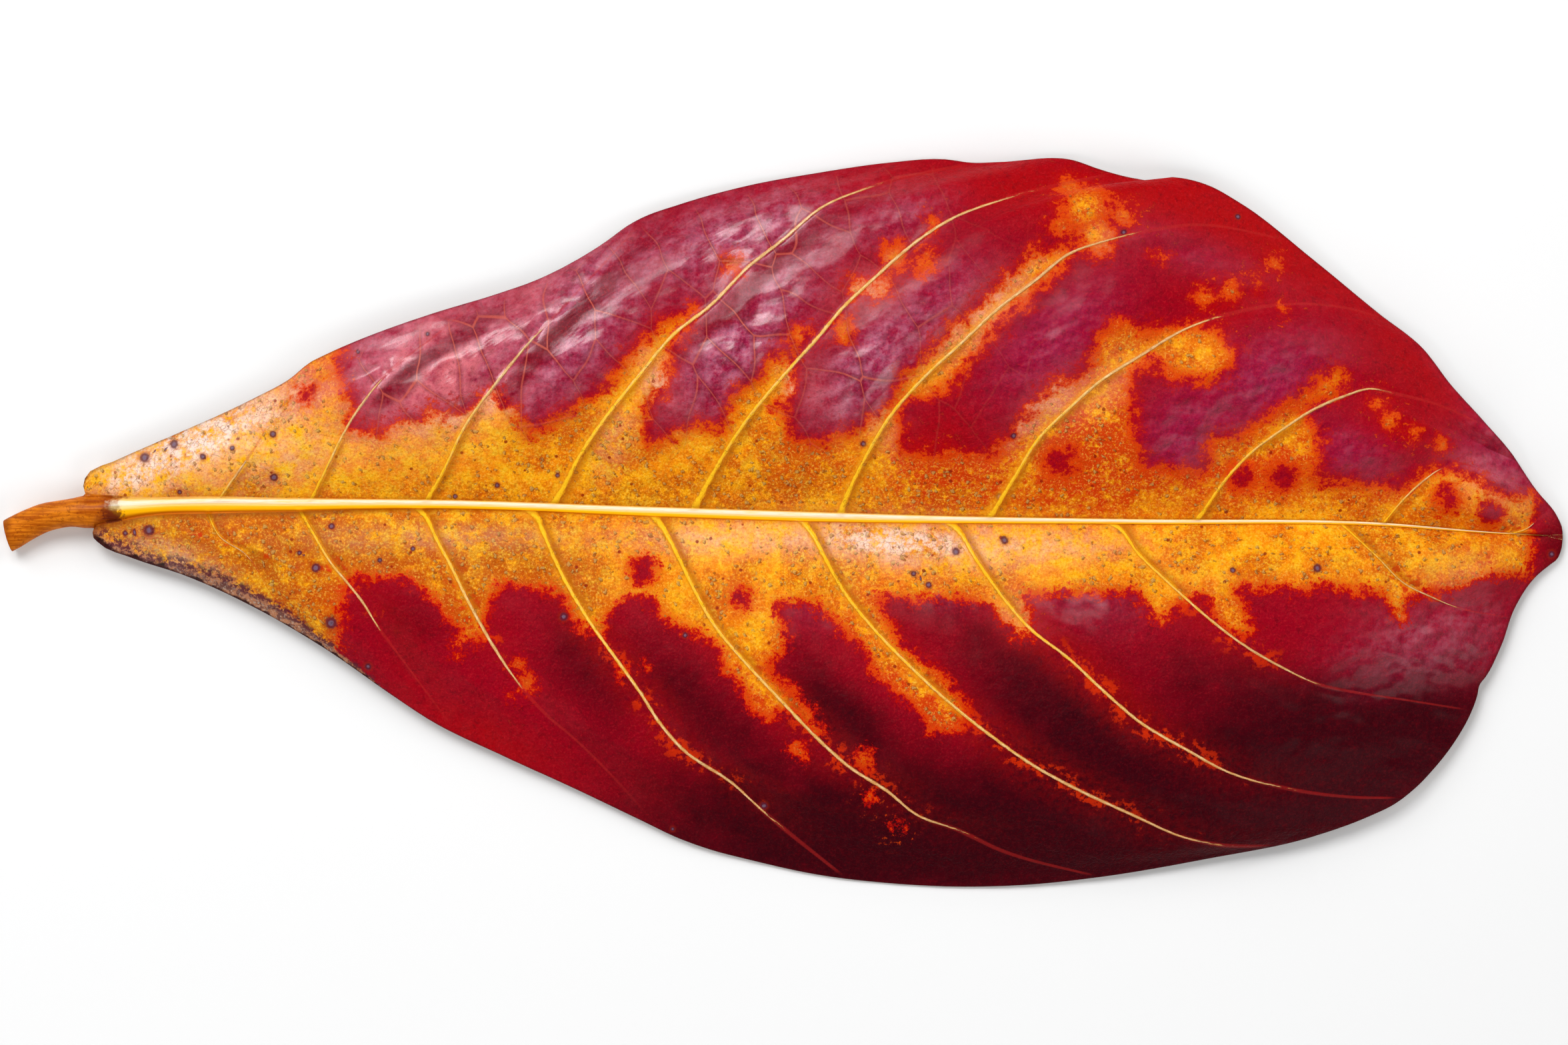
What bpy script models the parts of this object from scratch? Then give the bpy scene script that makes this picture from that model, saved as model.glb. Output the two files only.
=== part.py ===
"""A fallen tropical almond leaf lying on its back, as one closed body.

The frame is in metres. +X runs from the cut end of the stalk to the tip of the blade, +Y towards
the half of the blade on the left of the stalk, and +Z up. The origin is on the surface that the
leaf lies on, under the middle of its outline. All the sizes below are in millimetres.

The body is two skins, an upper and an under one. Each is a grid whose rows follow the side veins:
a row starts at the margin of one half, runs down a line of the same sweep as the nearest side
veins to the midrib, and out again along the veins of the other half. The skins meet all round
the margin, and on the stalk the same rows close up into an oval tube with a flat cut end.
"""

import bmesh
import bpy
import numpy as np

MM = 0.001
LENGTH = 222.0  # cut end of the stalk to the tip
BLADE = 0.46  # thickness of the blade between its veins
EDGE = 0.3  # width of the rounded edge of the blade
STALK_START = -110.1
RIB_END = 108.0  # where the midrib runs out, just short of the tip
VEIN_SPREAD = 1.1  # half width of a side vein at its foot, measured along the midrib
ROW_GAP = 5.5  # widest gap between two rows at the midrib
STALK_ROWS = (-110.1, -108.9, -107.2, -105.0, -102.5, -100.6, -99.3)
RIB_TURNS = (0.0, 40.0, 78.0)  # columns round the midrib, in degrees from its crest
BLADE_SHARES = (0.12, 0.28, 0.46, 0.66, 0.86)  # columns across the blade, midrib to margin

# The midrib and the stalk: x, y of the centre line, and x against each size.
CENTRE = ((-110.1, -1.8), (-107.2, -0.2), (-105.0, 0.75), (-102.5, 1.3), (-97.0, 1.75),
          (-90.0, 2.4), (-70.0, 2.6), (-50.0, 2.6), (-20.0, 1.6), (10.0, 0.6), (50.0, 0.1),
          (85.0, -0.2), (100.0, -1.3), (108.0, -1.7))
RIB_WIDTH = ((-110.1, 4.55), (-105.0, 4.1), (-101.0, 4.0), (-98.5, 4.7), (-95.0, 3.2),
             (-80.0, 2.3), (-60.0, 1.8), (0.0, 1.6), (50.0, 1.0), (90.0, 0.5), (108.0, 0.3))
RIB_RISE = ((-110.1, 2.0), (-99.0, 2.1), (-94.0, 1.5), (-85.0, 1.1), (-60.0, 0.85),
            (0.0, 0.6), (50.0, 0.48), (90.0, 0.34), (108.0, 0.27))
RIB_DEPTH = ((-110.1, 2.0), (-99.0, 2.1), (-93.0, 1.7), (-80.0, 1.4), (-40.0, 1.1),
             (10.0, 1.0), (60.0, 0.6), (90.0, 0.4), (108.0, 0.28))
# Height of the midrib's underside over the surface. Below zero it rests there on a flat land.
RIB_LIFT = ((-110.1, 0.0), (-104.0, 0.3), (-97.0, 0.9), (-80.0, 1.1), (-60.0, 0.5),
            (-45.0, -0.3), (12.0, -0.3), (40.0, 0.9), (70.0, 2.1), (90.0, 2.3), (108.0, 1.0))

# The outline of each half, from the stalk to the tip.
LEFT_MARGIN = ((-98.9, 4.0), (-99.3, 5.6), (-98.6, 7.1), (-95.0, 8.8), (-85.0, 13.2),
               (-75.0, 17.8), (-67.0, 22.9), (-60.0, 26.1), (-50.0, 29.7), (-40.0, 32.8),
               (-30.5, 36.8), (-22.0, 42.4), (-15.0, 45.3), (-5.0, 48.1), (5.0, 49.95),
               (15.0, 51.4), (23.0, 51.9), (31.0, 51.5), (41.3, 51.7), (45.0, 50.4),
               (52.5, 48.7), (55.5, 49.2), (60.0, 48.2), (65.0, 45.5), (75.0, 37.85),
               (85.0, 29.7), (90.7, 25.2), (95.0, 19.65), (100.0, 14.1), (103.8, 9.7),
               (107.2, 4.7), (110.1, 1.15), (111.0, -2.0))
RIGHT_MARGIN = ((-97.6, -0.6), (-98.0, -1.7), (-97.0, -2.9), (-92.5, -4.9), (-85.0, -7.4),
                (-75.0, -12.0), (-65.0, -17.85), (-55.0, -24.8), (-50.0, -28.1),
                (-40.0, -33.0), (-30.0, -37.6), (-20.0, -42.4), (-15.0, -44.8), (-5.0, -47.9),
                (5.0, -50.1), (15.0, -51.3), (25.0, -51.8), (35.0, -51.5), (45.0, -50.4),
                (60.0, -47.8), (75.0, -44.6), (83.5, -41.5), (89.9, -37.5), (94.9, -31.8),
                (97.5, -27.5), (99.0, -23.0), (102.2, -17.2), (104.0, -12.2), (107.2, -7.5),
                (110.1, -5.3), (111.0, -2.0))

# Lines from the midrib to the margin. The first three of each half spread the rows round the
# lobes at the blade's foot, the last runs into the tip, and the rest are the side veins.
LEFT_LINES = (
    ((-98.6, 1.6), (-98.9, 4.0)),
    ((-96.4, 1.8), (-97.5, 4.45), (-98.6, 7.1)),
    ((-91.5, 2.3), (-90.5, 6.5), (-88.0, 11.9)),
    ((-80.5, 2.5), (-79.0, 4.5), (-74.7, 10.5), (-69.5, 20.9)),
    ((-67.3, 2.6), (-65.0, 7.0), (-60.0, 16.0), (-50.5, 25.5), (-43.0, 31.9)),
    ((-51.0, 2.6), (-48.0, 7.5), (-41.0, 19.0), (-34.8, 27.0), (-25.0, 35.3), (-19.0, 43.8)),
    ((-33.0, 2.0), (-28.5, 10.0), (-20.0, 21.2), (-10.0, 30.8), (5.7, 44.8), (27.0, 51.7)),
    ((-13.0, 1.4), (-10.0, 7.0), (-5.0, 14.8), (5.0, 26.3), (20.5, 41.0), (31.5, 46.0),
     (47.0, 49.9)),
    ((8.0, 0.65), (11.5, 9.0), (20.0, 20.7), (30.0, 30.0), (40.3, 38.0), (50.8, 41.1),
     (72.0, 40.2)),
    ((29.0, 0.35), (36.0, 12.0), (44.5, 20.0), (57.0, 27.6), (70.5, 31.0), (86.0, 29.0)),
    ((58.5, 0.1), (63.0, 6.8), (70.0, 13.0), (79.0, 17.9), (90.0, 17.5), (100.5, 13.5)),
    ((85.0, -0.2), (87.0, 2.5), (93.0, 7.7), (99.0, 7.5), (107.2, 4.7)),
    ((103.5, -1.45), (105.5, -0.6), (109.3, 2.1)),
    ((108.0, -1.7), (111.0, -2.0)),
)
RIGHT_LINES = (
    ((-97.8, 1.7), (-97.6, -0.6)),
    ((-95.4, 1.9), (-96.3, -0.4), (-97.2, -2.7)),
    ((-91.0, 2.3), (-90.2, -1.5), (-88.5, -6.2)),
    ((-82.0, 2.5), (-79.7, -2.0), (-74.5, -8.5), (-68.5, -15.7)),
    ((-69.0, 2.6), (-64.0, -5.5), (-59.5, -11.0), (-53.2, -20.2), (-46.0, -30.2)),
    ((-51.6, 2.6), (-49.5, -1.5), (-44.5, -11.0), (-38.3, -21.3), (-30.0, -30.0),
     (-17.0, -43.8)),
    ((-36.0, 2.1), (-34.0, -1.5), (-28.0, -13.0), (-20.0, -24.2), (-10.0, -35.0), (9.0, -50.7)),
    ((-18.5, 1.55), (-15.0, -4.5), (-10.0, -14.0), (0.0, -25.3), (9.5, -34.5), (20.0, -41.5),
     (45.0, -50.4)),
    ((2.5, 0.8), (6.0, -5.0), (12.0, -14.0), (25.0, -26.6), (42.0, -37.8), (57.0, -44.6),
     (70.0, -46.0)),
    ((23.5, 0.4), (27.0, -4.5), (35.0, -15.0), (50.0, -27.8), (67.5, -36.5), (88.0, -38.9)),
    ((46.5, 0.12), (50.0, -4.0), (60.0, -13.5), (70.0, -20.2), (79.3, -23.6), (97.8, -26.6)),
    ((79.0, -0.15), (84.0, -5.0), (89.0, -9.9), (95.3, -12.2), (103.5, -13.5)),
    ((102.5, -1.4), (105.0, -3.6), (108.6, -6.4)),
    ((108.0, -1.7), (111.0, -2.0)),
)
BASE_LINES = 3  # lines of each half before its first side vein
TIP_LINES = {1: 1, -1: 2}  # lines of each half after its last side vein

# How each half arches between the midrib and its margin, against x at the midrib.
ARCH = {
    1: ((-99.0, 0.0), (-90.0, 1.5), (-75.0, 3.2), (-50.0, 5.4), (-20.0, 7.2), (10.0, 8.0),
        (35.0, 7.4), (60.0, 5.2), (85.0, 3.0), (100.0, 1.2), (108.0, 0.0)),
    -1: ((-98.0, 0.0), (-90.0, 1.2), (-75.0, 2.6), (-50.0, 4.6), (-20.0, 6.2), (10.0, 7.0),
         (35.0, 6.8), (60.0, 5.2), (85.0, 3.0), (100.0, 1.2), (108.0, 0.0)),
}
# Height of the margin's middle plane over the surface, against x of the margin.
MARGIN_LIFT = {
    1: ((-99.0, 2.6), (-85.0, 2.6), (-60.0, 3.0), (-25.0, 1.6), (10.0, 0.3), (28.0, 0.24),
        (60.0, 2.2), (85.0, 1.2), (100.0, 1.8), (111.0, 1.0)),
    -1: ((-98.0, 2.6), (-85.0, 2.4), (-60.0, 2.2), (-30.0, 1.3), (5.0, 0.3), (24.0, 0.24),
         (60.0, 1.5), (85.0, 2.6), (100.0, 1.9), (111.0, 1.0)),
}
PANEL_BULGE = 1.25  # rise of the blade between two side veins
VEIN_RISE = 0.34  # height of a side vein over the upper skin, near the midrib
VEIN_DEPTH = 0.42  # and below the under skin


def spline(position, knots, values):
    """A smooth curve through the values at the knots, for numbers or for points."""
    knots = np.asarray(knots, float)
    values = np.asarray(values, float)
    shape = (-1,) + (1,) * (values.ndim - 1)
    gaps = np.diff(knots).reshape(shape)
    steps = np.diff(values, axis=0) / gaps
    slopes = np.concatenate([steps[:1], steps])
    slopes[1:-1] = (steps[:-1] * gaps[1:] + steps[1:] * gaps[:-1]) / (gaps[:-1] + gaps[1:])
    position = np.clip(position, knots[0], knots[-1])
    span = np.clip(np.searchsorted(knots, position, side="right") - 1, 0, len(knots) - 2)
    gap = np.diff(knots)[span]
    part = (position - knots[span]) / gap
    part = part.reshape(part.shape + (1,) * (values.ndim - 1))
    gap = gap.reshape(part.shape)
    return (
        values[span] * (1 + 2 * part) * (1 - part) ** 2
        + values[span + 1] * part ** 2 * (3 - 2 * part)
        + slopes[span] * gap * part * (1 - part) ** 2
        - slopes[span + 1] * gap * part ** 2 * (1 - part)
    )


def size_at(table, x):
    return spline(x, [row[0] for row in table], [row[1] for row in table])


def even_steps(points, count):
    """The smooth curve through some points, as points at equal steps along it."""
    points = np.asarray(points, float)
    knots = np.r_[0.0, np.cumsum(np.linalg.norm(np.diff(points, axis=0), axis=1))]
    fine = spline(np.linspace(0.0, knots[-1], 12 * count), knots, points)
    along = np.r_[0.0, np.cumsum(np.linalg.norm(np.diff(fine, axis=0), axis=1))]
    want = np.linspace(0.0, along[-1], count)
    return np.stack([np.interp(want, along, fine[:, axis]) for axis in (0, 1)], axis=-1)


def centre_line(x):
    return np.stack([x, spline(x, [p[0] for p in CENTRE], [p[1] for p in CENTRE])], axis=-1)


def ramp(value, low, high):
    part = np.clip((value - low) / (high - low), 0.0, 1.0)
    return part * part * (3 - 2 * part)


class Half:
    """One half of the blade, with its side of the stalk."""

    def __init__(self, side, margin, lines):
        self.side = side
        self.margin = even_steps(margin, 600)
        self.feet = np.array([line[0][0] for line in lines])
        self.stops = []
        self.bows = []
        share = np.linspace(0.0, 1.0, 61)[:, None]
        for line in lines:
            path = even_steps(line, 61)
            reach = np.linalg.norm(self.margin - path[-1], axis=1)
            self.stops.append(np.argmin(reach) / (len(self.margin) - 1))
            self.bows.append(path - path[0] - share * (path[-1] - path[0]))
        self.stops[0] = 0.0
        self.stops[-1] = 1.0
        self.bows = np.array(self.bows)
        self.veins = self.feet[BASE_LINES:len(lines) - TIP_LINES[side]]

    def columns(self, x):
        """Each row's columns, as shares of the way from the midrib's centre to the margin."""
        reach = self.reach(x)
        rib = np.minimum(size_at(RIB_WIDTH, x) / 2, reach)
        turns = np.sin(np.radians(RIB_TURNS))
        foot = rib / reach
        inner = turns * foot[:, None]
        rest = 1.0 - EDGE / np.maximum(reach, 3 * EDGE)
        rest = np.maximum(rest, inner[:, -1] + 0.6 * (1.0 - inner[:, -1]))
        start = inner[:, -1:]
        blade = start + np.array(BLADE_SHARES) * (rest[:, None] - start)
        return np.concatenate([inner, blade, rest[:, None], np.ones((len(x), 1))], axis=1)

    def ends(self, x):
        line = np.interp(x, self.feet, np.arange(len(self.feet)))
        stop = np.interp(line, np.arange(len(self.feet)), self.stops) * (len(self.margin) - 1)
        places = np.arange(len(self.margin))
        end = np.stack([np.interp(stop, places, self.margin[:, axis]) for axis in (0, 1)], -1)
        middle = centre_line(x)
        ahead = centre_line(x + 0.2) - centre_line(x - 0.2)
        ahead /= np.linalg.norm(ahead, axis=1)[:, None]
        across = self.side * np.stack([-ahead[:, 1], ahead[:, 0]], axis=-1)
        tube = middle + across * size_at(RIB_WIDTH, x)[:, None] / 2
        on_stalk = x < self.feet[0]
        return line, middle, np.where(on_stalk[:, None], tube, end)

    def reach(self, x):
        _, middle, end = self.ends(x)
        return np.maximum(np.linalg.norm(end - middle, axis=1), 1e-6)

    def plan(self, x, share):
        """Where each row's columns lie, seen from above, and how far between two veins."""
        line, middle, end = self.ends(x)
        low = np.clip(np.floor(line).astype(int), 0, len(self.feet) - 2)
        part = (line - low)[:, None, None]
        place = share * 60
        before = np.clip(np.floor(place).astype(int), 0, 59)
        rest = (place - before)[..., None]
        rows = low[:, None]
        near = self.bows[rows, before] * (1 - rest) + self.bows[rows, before + 1] * rest
        far = self.bows[rows + 1, before] * (1 - rest) + self.bows[rows + 1, before + 1] * rest
        bow = near * (1 - part) + far * part
        bow[x < self.feet[0]] = 0.0
        across = share[..., None] * (end - middle)[:, None, :]
        return middle[:, None, :] + across + bow, line - low, low

    def skins(self, x, share):
        """The heights of the upper and the under skin over the surface, and the plan."""
        plan, between, low = self.plan(x, share)
        reach = self.reach(x)[:, None]
        rib = size_at(RIB_WIDTH, x)[:, None] / 2
        off = np.clip(share * reach / rib, 0.0, 1.0)
        oval = np.sqrt(1 - off * off)
        depth = size_at(RIB_DEPTH, x)[:, None]
        root = depth + size_at(RIB_LIFT, x)[:, None]
        tip = size_at(MARGIN_LIFT[self.side], plan[:, -1, 0])[:, None]
        middle = root + (tip - root) * ramp(share, 0.0, 1.0)
        middle += size_at(ARCH[self.side], x)[:, None] * np.sin(np.pi * share ** 0.85)
        on_blade = ramp(x, self.feet[0], self.feet[2])[:, None]
        veined = (low >= BASE_LINES - 1) & (low < len(self.feet) - TIP_LINES[self.side])
        hump = np.sin(np.pi * between)[:, None] ** 2 * ramp(share, 0.02, 0.25)
        gap = np.gradient(np.unique(self.feet))[low][:, None] / 20.0
        hump *= (1.0 - ramp(share, 0.62, 1.0)) * np.minimum(gap, 1.0)
        middle += np.where(veined[:, None], PANEL_BULGE * hump, 0.0)
        middle = np.where(x[:, None] < self.feet[0], root, root + (middle - root) * on_blade)
        edge = np.clip((1.0 - share) * reach / EDGE, 0.0, 1.0)
        sheet = BLADE / 2 * np.sqrt(edge * (2 - edge))
        sheet = sheet * ramp(x, self.feet[0] - 1.2, self.feet[0] + 0.6)[:, None]
        to_vein = np.abs(x[:, None] - self.veins[None, :]).min(axis=1)[:, None]
        cord = np.clip(1 - to_vein / VEIN_SPREAD, 0, 1) * ramp(share, 0.0, 0.05)
        cord = cord * (1 - ramp(share, 0.45, 0.97))
        over = np.hypot(sheet, size_at(RIB_RISE, x)[:, None] * oval) + VEIN_RISE * cord
        under = np.hypot(sheet, depth * oval) + VEIN_DEPTH * cord
        return plan, middle + over, np.maximum(middle - under, 0.0)


def row_places(halves):
    """Where the rows cross the midrib: on each vein, beside it, and evenly in between."""
    wanted = set(STALK_ROWS)
    for half in halves:
        for foot in half.veins:
            wanted.update((foot - VEIN_SPREAD, foot, foot + VEIN_SPREAD))
        wanted.update(half.feet)
    exact = np.sort(np.concatenate([half.veins for half in halves]))
    places = []
    for x in sorted(wanted):
        crowded = places and x - places[-1] < 0.55
        if crowded and np.abs(exact - x).min() > 1e-6:
            continue
        if crowded and np.abs(exact - places[-1]).min() > 1e-6:
            places.pop()
        if places and x - places[-1] > ROW_GAP:
            steps = int(np.ceil((x - places[-1]) / ROW_GAP))
            places.extend(np.linspace(places[-1], x, steps + 1)[1:-1])
        places.append(float(x))
    return np.array([x for x in places if x <= RIB_END])


def skin_grid(bm, points):
    """A grid of the rows and columns of the points, moved onto them. It returns its corners."""
    rows, columns = points.shape[:2]
    made = bmesh.ops.create_grid(bm, x_segments=rows - 1, y_segments=columns - 1, size=1.0)
    for vert in made["verts"]:
        row = round((vert.co.x + 1) / 2 * (rows - 1))
        column = round((vert.co.y + 1) / 2 * (columns - 1))
        vert.co = points[row, column] * MM
    return made["verts"]


def leaf_mesh():
    left = Half(1, LEFT_MARGIN, LEFT_LINES)
    right = Half(-1, RIGHT_MARGIN, RIGHT_LINES)
    x = row_places((left, right))
    tops = []
    bottoms = []
    for half in (left, right):
        share = half.columns(x)
        plan, over, under = half.skins(x, share)
        tops.append(np.concatenate([plan, over[..., None]], axis=-1))
        bottoms.append(np.concatenate([plan, under[..., None]], axis=-1))
        bottoms[-1][:, -1] = tops[-1][:, -1]
    # The midrib's crest and the last row, which both halves share, are the same on either side.
    for skins in (tops, bottoms):
        skins[1][:, 0] = skins[0][:, 0]
        skins[1][-1] = skins[0][-1]
    top = np.concatenate([tops[1][:, :0:-1], tops[0]], axis=1)
    bottom = np.concatenate([bottoms[1][:, :0:-1], bottoms[0]], axis=1)
    both = np.concatenate([top.reshape(-1, 3), bottom.reshape(-1, 3)])
    middle = (both.min(axis=0) + both.max(axis=0)) / 2
    middle[2] = both[:, 2].min()
    scale = LENGTH / (both[:, 0].max() - both[:, 0].min())
    bm = bmesh.new()
    skin_grid(bm, (top - middle) * scale)
    lower = skin_grid(bm, (bottom - middle) * scale)
    facing = {face for vert in lower for face in vert.link_faces}
    bmesh.ops.reverse_faces(bm, faces=list(facing))
    bmesh.ops.remove_doubles(bm, verts=bm.verts, dist=1e-6)
    rim = [edge for edge in bm.edges if edge.is_boundary]
    bmesh.ops.contextual_create(bm, geom=rim)
    bmesh.ops.recalc_face_normals(bm, faces=bm.faces)
    mesh = bpy.data.meshes.new("leaf")
    bm.to_mesh(mesh)
    bm.free()
    return mesh


def leaf_material():
    material = bpy.data.materials.new("autumn_leaf_skin")
    material.use_nodes = True
    shader = material.node_tree.nodes["Principled BSDF"]
    shader.inputs["Base Color"].default_value = (0.50, 0.055, 0.018, 1.0)
    shader.inputs["Roughness"].default_value = 0.42
    shader.inputs["Metallic"].default_value = 0.0
    return material


def main():
    for thing in list(bpy.data.objects):
        bpy.data.objects.remove(thing, do_unlink=True)
    collection = bpy.data.collections.new("autumn_leaf")
    bpy.context.scene.collection.children.link(collection)
    mesh = leaf_mesh()
    mesh.materials.append(leaf_material())
    mesh.shade_smooth()
    mesh.set_sharp_from_angle(angle=np.radians(40.0))
    leaf = bpy.data.objects.new("leaf", mesh)
    collection.objects.link(leaf)


main()
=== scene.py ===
"""Fallen tropical almond leaf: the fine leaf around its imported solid, and a small studio."""

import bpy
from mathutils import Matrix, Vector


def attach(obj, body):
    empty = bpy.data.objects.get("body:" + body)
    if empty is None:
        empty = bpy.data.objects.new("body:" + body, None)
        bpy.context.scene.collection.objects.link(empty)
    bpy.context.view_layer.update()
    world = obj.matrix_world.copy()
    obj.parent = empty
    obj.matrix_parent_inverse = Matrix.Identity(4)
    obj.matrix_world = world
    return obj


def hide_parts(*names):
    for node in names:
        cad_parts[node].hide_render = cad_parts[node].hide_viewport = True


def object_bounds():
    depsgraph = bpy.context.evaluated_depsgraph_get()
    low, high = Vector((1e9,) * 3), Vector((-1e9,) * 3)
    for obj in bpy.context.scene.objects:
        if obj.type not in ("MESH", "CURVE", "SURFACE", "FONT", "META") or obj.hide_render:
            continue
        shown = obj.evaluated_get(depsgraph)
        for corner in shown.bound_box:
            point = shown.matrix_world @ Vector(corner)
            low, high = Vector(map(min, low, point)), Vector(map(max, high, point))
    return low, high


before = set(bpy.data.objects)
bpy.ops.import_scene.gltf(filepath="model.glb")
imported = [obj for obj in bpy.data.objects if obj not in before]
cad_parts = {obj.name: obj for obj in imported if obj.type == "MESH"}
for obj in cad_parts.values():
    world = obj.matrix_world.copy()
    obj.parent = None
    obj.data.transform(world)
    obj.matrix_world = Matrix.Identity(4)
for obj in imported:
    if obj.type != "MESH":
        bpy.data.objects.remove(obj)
CAD_BOX = [list(corner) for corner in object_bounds()]

import math

import bpy
import numpy as np
from bpy.props import FloatProperty, FloatVectorProperty, PointerProperty
from mathutils import Vector, noise

bl_info = {
    "name": "Autumn Leaf",
    "version": (1, 0, 0),
    "blender": (4, 5, 0),
    "location": "3D View > Sidebar > Leaf",
    "description": "Models a fallen tropical almond leaf and a studio to show it in",
    "category": "Object",
}

MM = 0.001
LENGTH = (CAD_BOX[1][0] - CAD_BOX[0][0]) / MM  # cut end of the stalk to the tip

# All that follows is in millimetres. The midrib and the stalk: the centre line's x and y, and
# x against each size. The tip of the blade is at +X and the half on the stalk's left at +Y.
STALK_END = -110.1
RIB_END = 108.0
CENTRE = ((STALK_END, -1.8), (-107.2, -0.2), (-105.0, 0.75), (-102.5, 1.3), (-97.0, 1.75),
          (-90.0, 2.4), (-70.0, 2.6), (-50.0, 2.6), (-20.0, 1.6), (10.0, 0.6), (50.0, 0.1),
          (85.0, -0.2), (100.0, -1.3), (RIB_END, -1.7))
RIB_WIDTH = ((STALK_END, 4.55), (-105.0, 4.1), (-101.0, 4.0), (-98.5, 4.7), (-95.0, 3.2),
             (-80.0, 2.3), (-60.0, 1.8), (0.0, 1.6), (50.0, 1.0), (90.0, 0.5), (108.0, 0.3))
RIB_RISE = ((STALK_END, 2.0), (-99.0, 2.1), (-94.0, 1.5), (-85.0, 1.1), (-60.0, 0.85),
            (0.0, 0.6), (50.0, 0.48), (90.0, 0.34), (108.0, 0.27))
RIB_DEPTH = ((STALK_END, 2.0), (-99.0, 2.1), (-93.0, 1.7), (-80.0, 1.4), (-40.0, 1.1),
             (10.0, 1.0), (60.0, 0.6), (90.0, 0.4), (108.0, 0.28))
RIB_LIFT = ((STALK_END, 0.0), (-104.0, 0.3), (-97.0, 0.9), (-80.0, 1.1), (-60.0, 0.5),
            (-45.0, -0.3), (12.0, -0.3), (40.0, 0.9), (70.0, 2.1), (90.0, 2.3), (108.0, 1.0))

# The outline of each half, from the stalk to the tip.
LEFT_MARGIN = ((-98.9, 4.0), (-99.3, 5.6), (-98.6, 7.1), (-95.0, 8.8), (-85.0, 13.2),
               (-80.0, 15.4), (-75.0, 17.8), (-70.0, 20.5), (-67.0, 22.9), (-65.0, 23.9),
               (-60.0, 26.1), (-50.0, 29.7), (-40.0, 32.8), (-35.0, 34.6), (-30.5, 36.8),
               (-25.0, 40.2), (-22.0, 42.4), (-20.0, 43.5), (-15.0, 45.3), (-5.0, 48.1),
               (5.0, 49.95), (15.0, 51.4), (23.0, 51.9), (27.0, 51.4), (31.0, 51.5),
               (41.3, 51.7), (45.0, 50.4), (50.0, 49.05), (53.0, 48.7), (55.0, 49.2),
               (57.0, 49.0), (60.0, 48.2), (65.0, 45.5), (75.0, 37.85), (85.0, 29.7),
               (90.7, 25.2), (95.0, 19.65), (100.0, 14.1), (103.8, 9.7), (105.0, 7.9),
               (107.2, 4.7), (110.1, 1.15), (110.9, -0.7), (111.0, -2.0))
RIGHT_MARGIN = ((-97.6, -0.6), (-98.0, -1.7), (-97.0, -2.9), (-92.5, -4.9), (-85.0, -7.4),
                (-75.0, -12.0), (-65.0, -17.85), (-55.0, -24.8), (-50.0, -28.1),
                (-40.0, -33.0), (-30.0, -37.6), (-20.0, -42.4), (-15.0, -44.8), (-10.0, -46.6),
                (-5.0, -47.9), (5.0, -50.1), (15.0, -51.3), (25.0, -51.8), (35.0, -51.5),
                (45.0, -50.4), (60.0, -47.8), (75.0, -44.6), (83.5, -41.5), (86.7, -39.95),
                (89.9, -37.5), (92.5, -34.8), (94.9, -31.8), (97.5, -27.5), (98.7, -24.4),
                (99.0, -23.0), (99.9, -21.8), (102.2, -17.2), (104.0, -12.2), (107.2, -7.5),
                (109.3, -5.8), (110.1, -5.2), (110.8, -3.6), (111.0, -2.0))

# Lines from the midrib to the margin. The first three of each half spread the rows round the
# lobes at the blade's foot, the last runs into the tip, and the rest are the side veins.
LEFT_LINES = (
    ((-98.6, 1.6), (-98.9, 4.0)),
    ((-96.4, 1.8), (-97.5, 4.45), (-98.6, 7.1)),
    ((-91.5, 2.3), (-90.5, 6.5), (-88.0, 11.9)),
    ((-80.5, 2.5), (-79.0, 4.5), (-74.7, 10.5), (-69.5, 20.9)),
    ((-67.3, 2.6), (-65.0, 7.0), (-60.0, 16.0), (-55.0, 22.0), (-50.5, 25.5), (-43.0, 31.9)),
    ((-51.0, 2.6), (-48.0, 7.5), (-45.0, 13.5), (-41.0, 19.0), (-37.0, 24.0), (-30.0, 31.5),
     (-19.0, 43.8)),
    ((-33.0, 2.0), (-31.8, 3.9), (-28.5, 10.0), (-25.0, 15.0), (-20.0, 21.2), (-15.5, 26.5),
     (-10.0, 30.8), (-5.0, 36.0), (0.0, 40.0), (5.7, 44.8), (12.0, 47.5), (27.0, 51.4)),
    ((-13.0, 1.4), (-10.0, 7.0), (-5.0, 14.8), (0.0, 20.8), (5.0, 26.3), (8.5, 30.5),
     (12.0, 33.8), (20.5, 41.0), (23.0, 42.6), (31.5, 46.0), (47.0, 49.9)),
    ((8.0, 0.65), (8.4, 2.1), (11.5, 9.0), (15.0, 15.0), (20.0, 20.7), (25.0, 25.3),
     (30.0, 30.0), (35.5, 34.2), (40.3, 38.0), (44.5, 39.5), (50.8, 41.1), (58.0, 42.2),
     (72.0, 40.2)),
    ((29.0, 0.35), (29.6, 1.3), (33.0, 7.0), (36.0, 12.0), (40.0, 16.0), (44.5, 20.0),
     (50.0, 23.5), (57.0, 27.6), (63.0, 29.6), (70.5, 31.0), (80.5, 30.5), (86.0, 29.0)),
    ((58.5, 0.1), (59.1, 1.0), (63.0, 6.8), (66.0, 10.0), (70.0, 13.0), (75.0, 16.2),
     (79.0, 17.9), (83.0, 19.0), (85.5, 18.5), (92.0, 17.0), (100.5, 13.5)),
    ((85.0, -0.2), (87.0, 2.5), (90.5, 6.0), (93.0, 7.7), (95.5, 8.4), (99.0, 7.5),
     (107.2, 4.7)),
    ((103.5, -1.45), (105.5, -0.8), (107.5, 0.8), (109.3, 2.1)),
    ((108.0, -1.7), (111.0, -2.0)),
)
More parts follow.
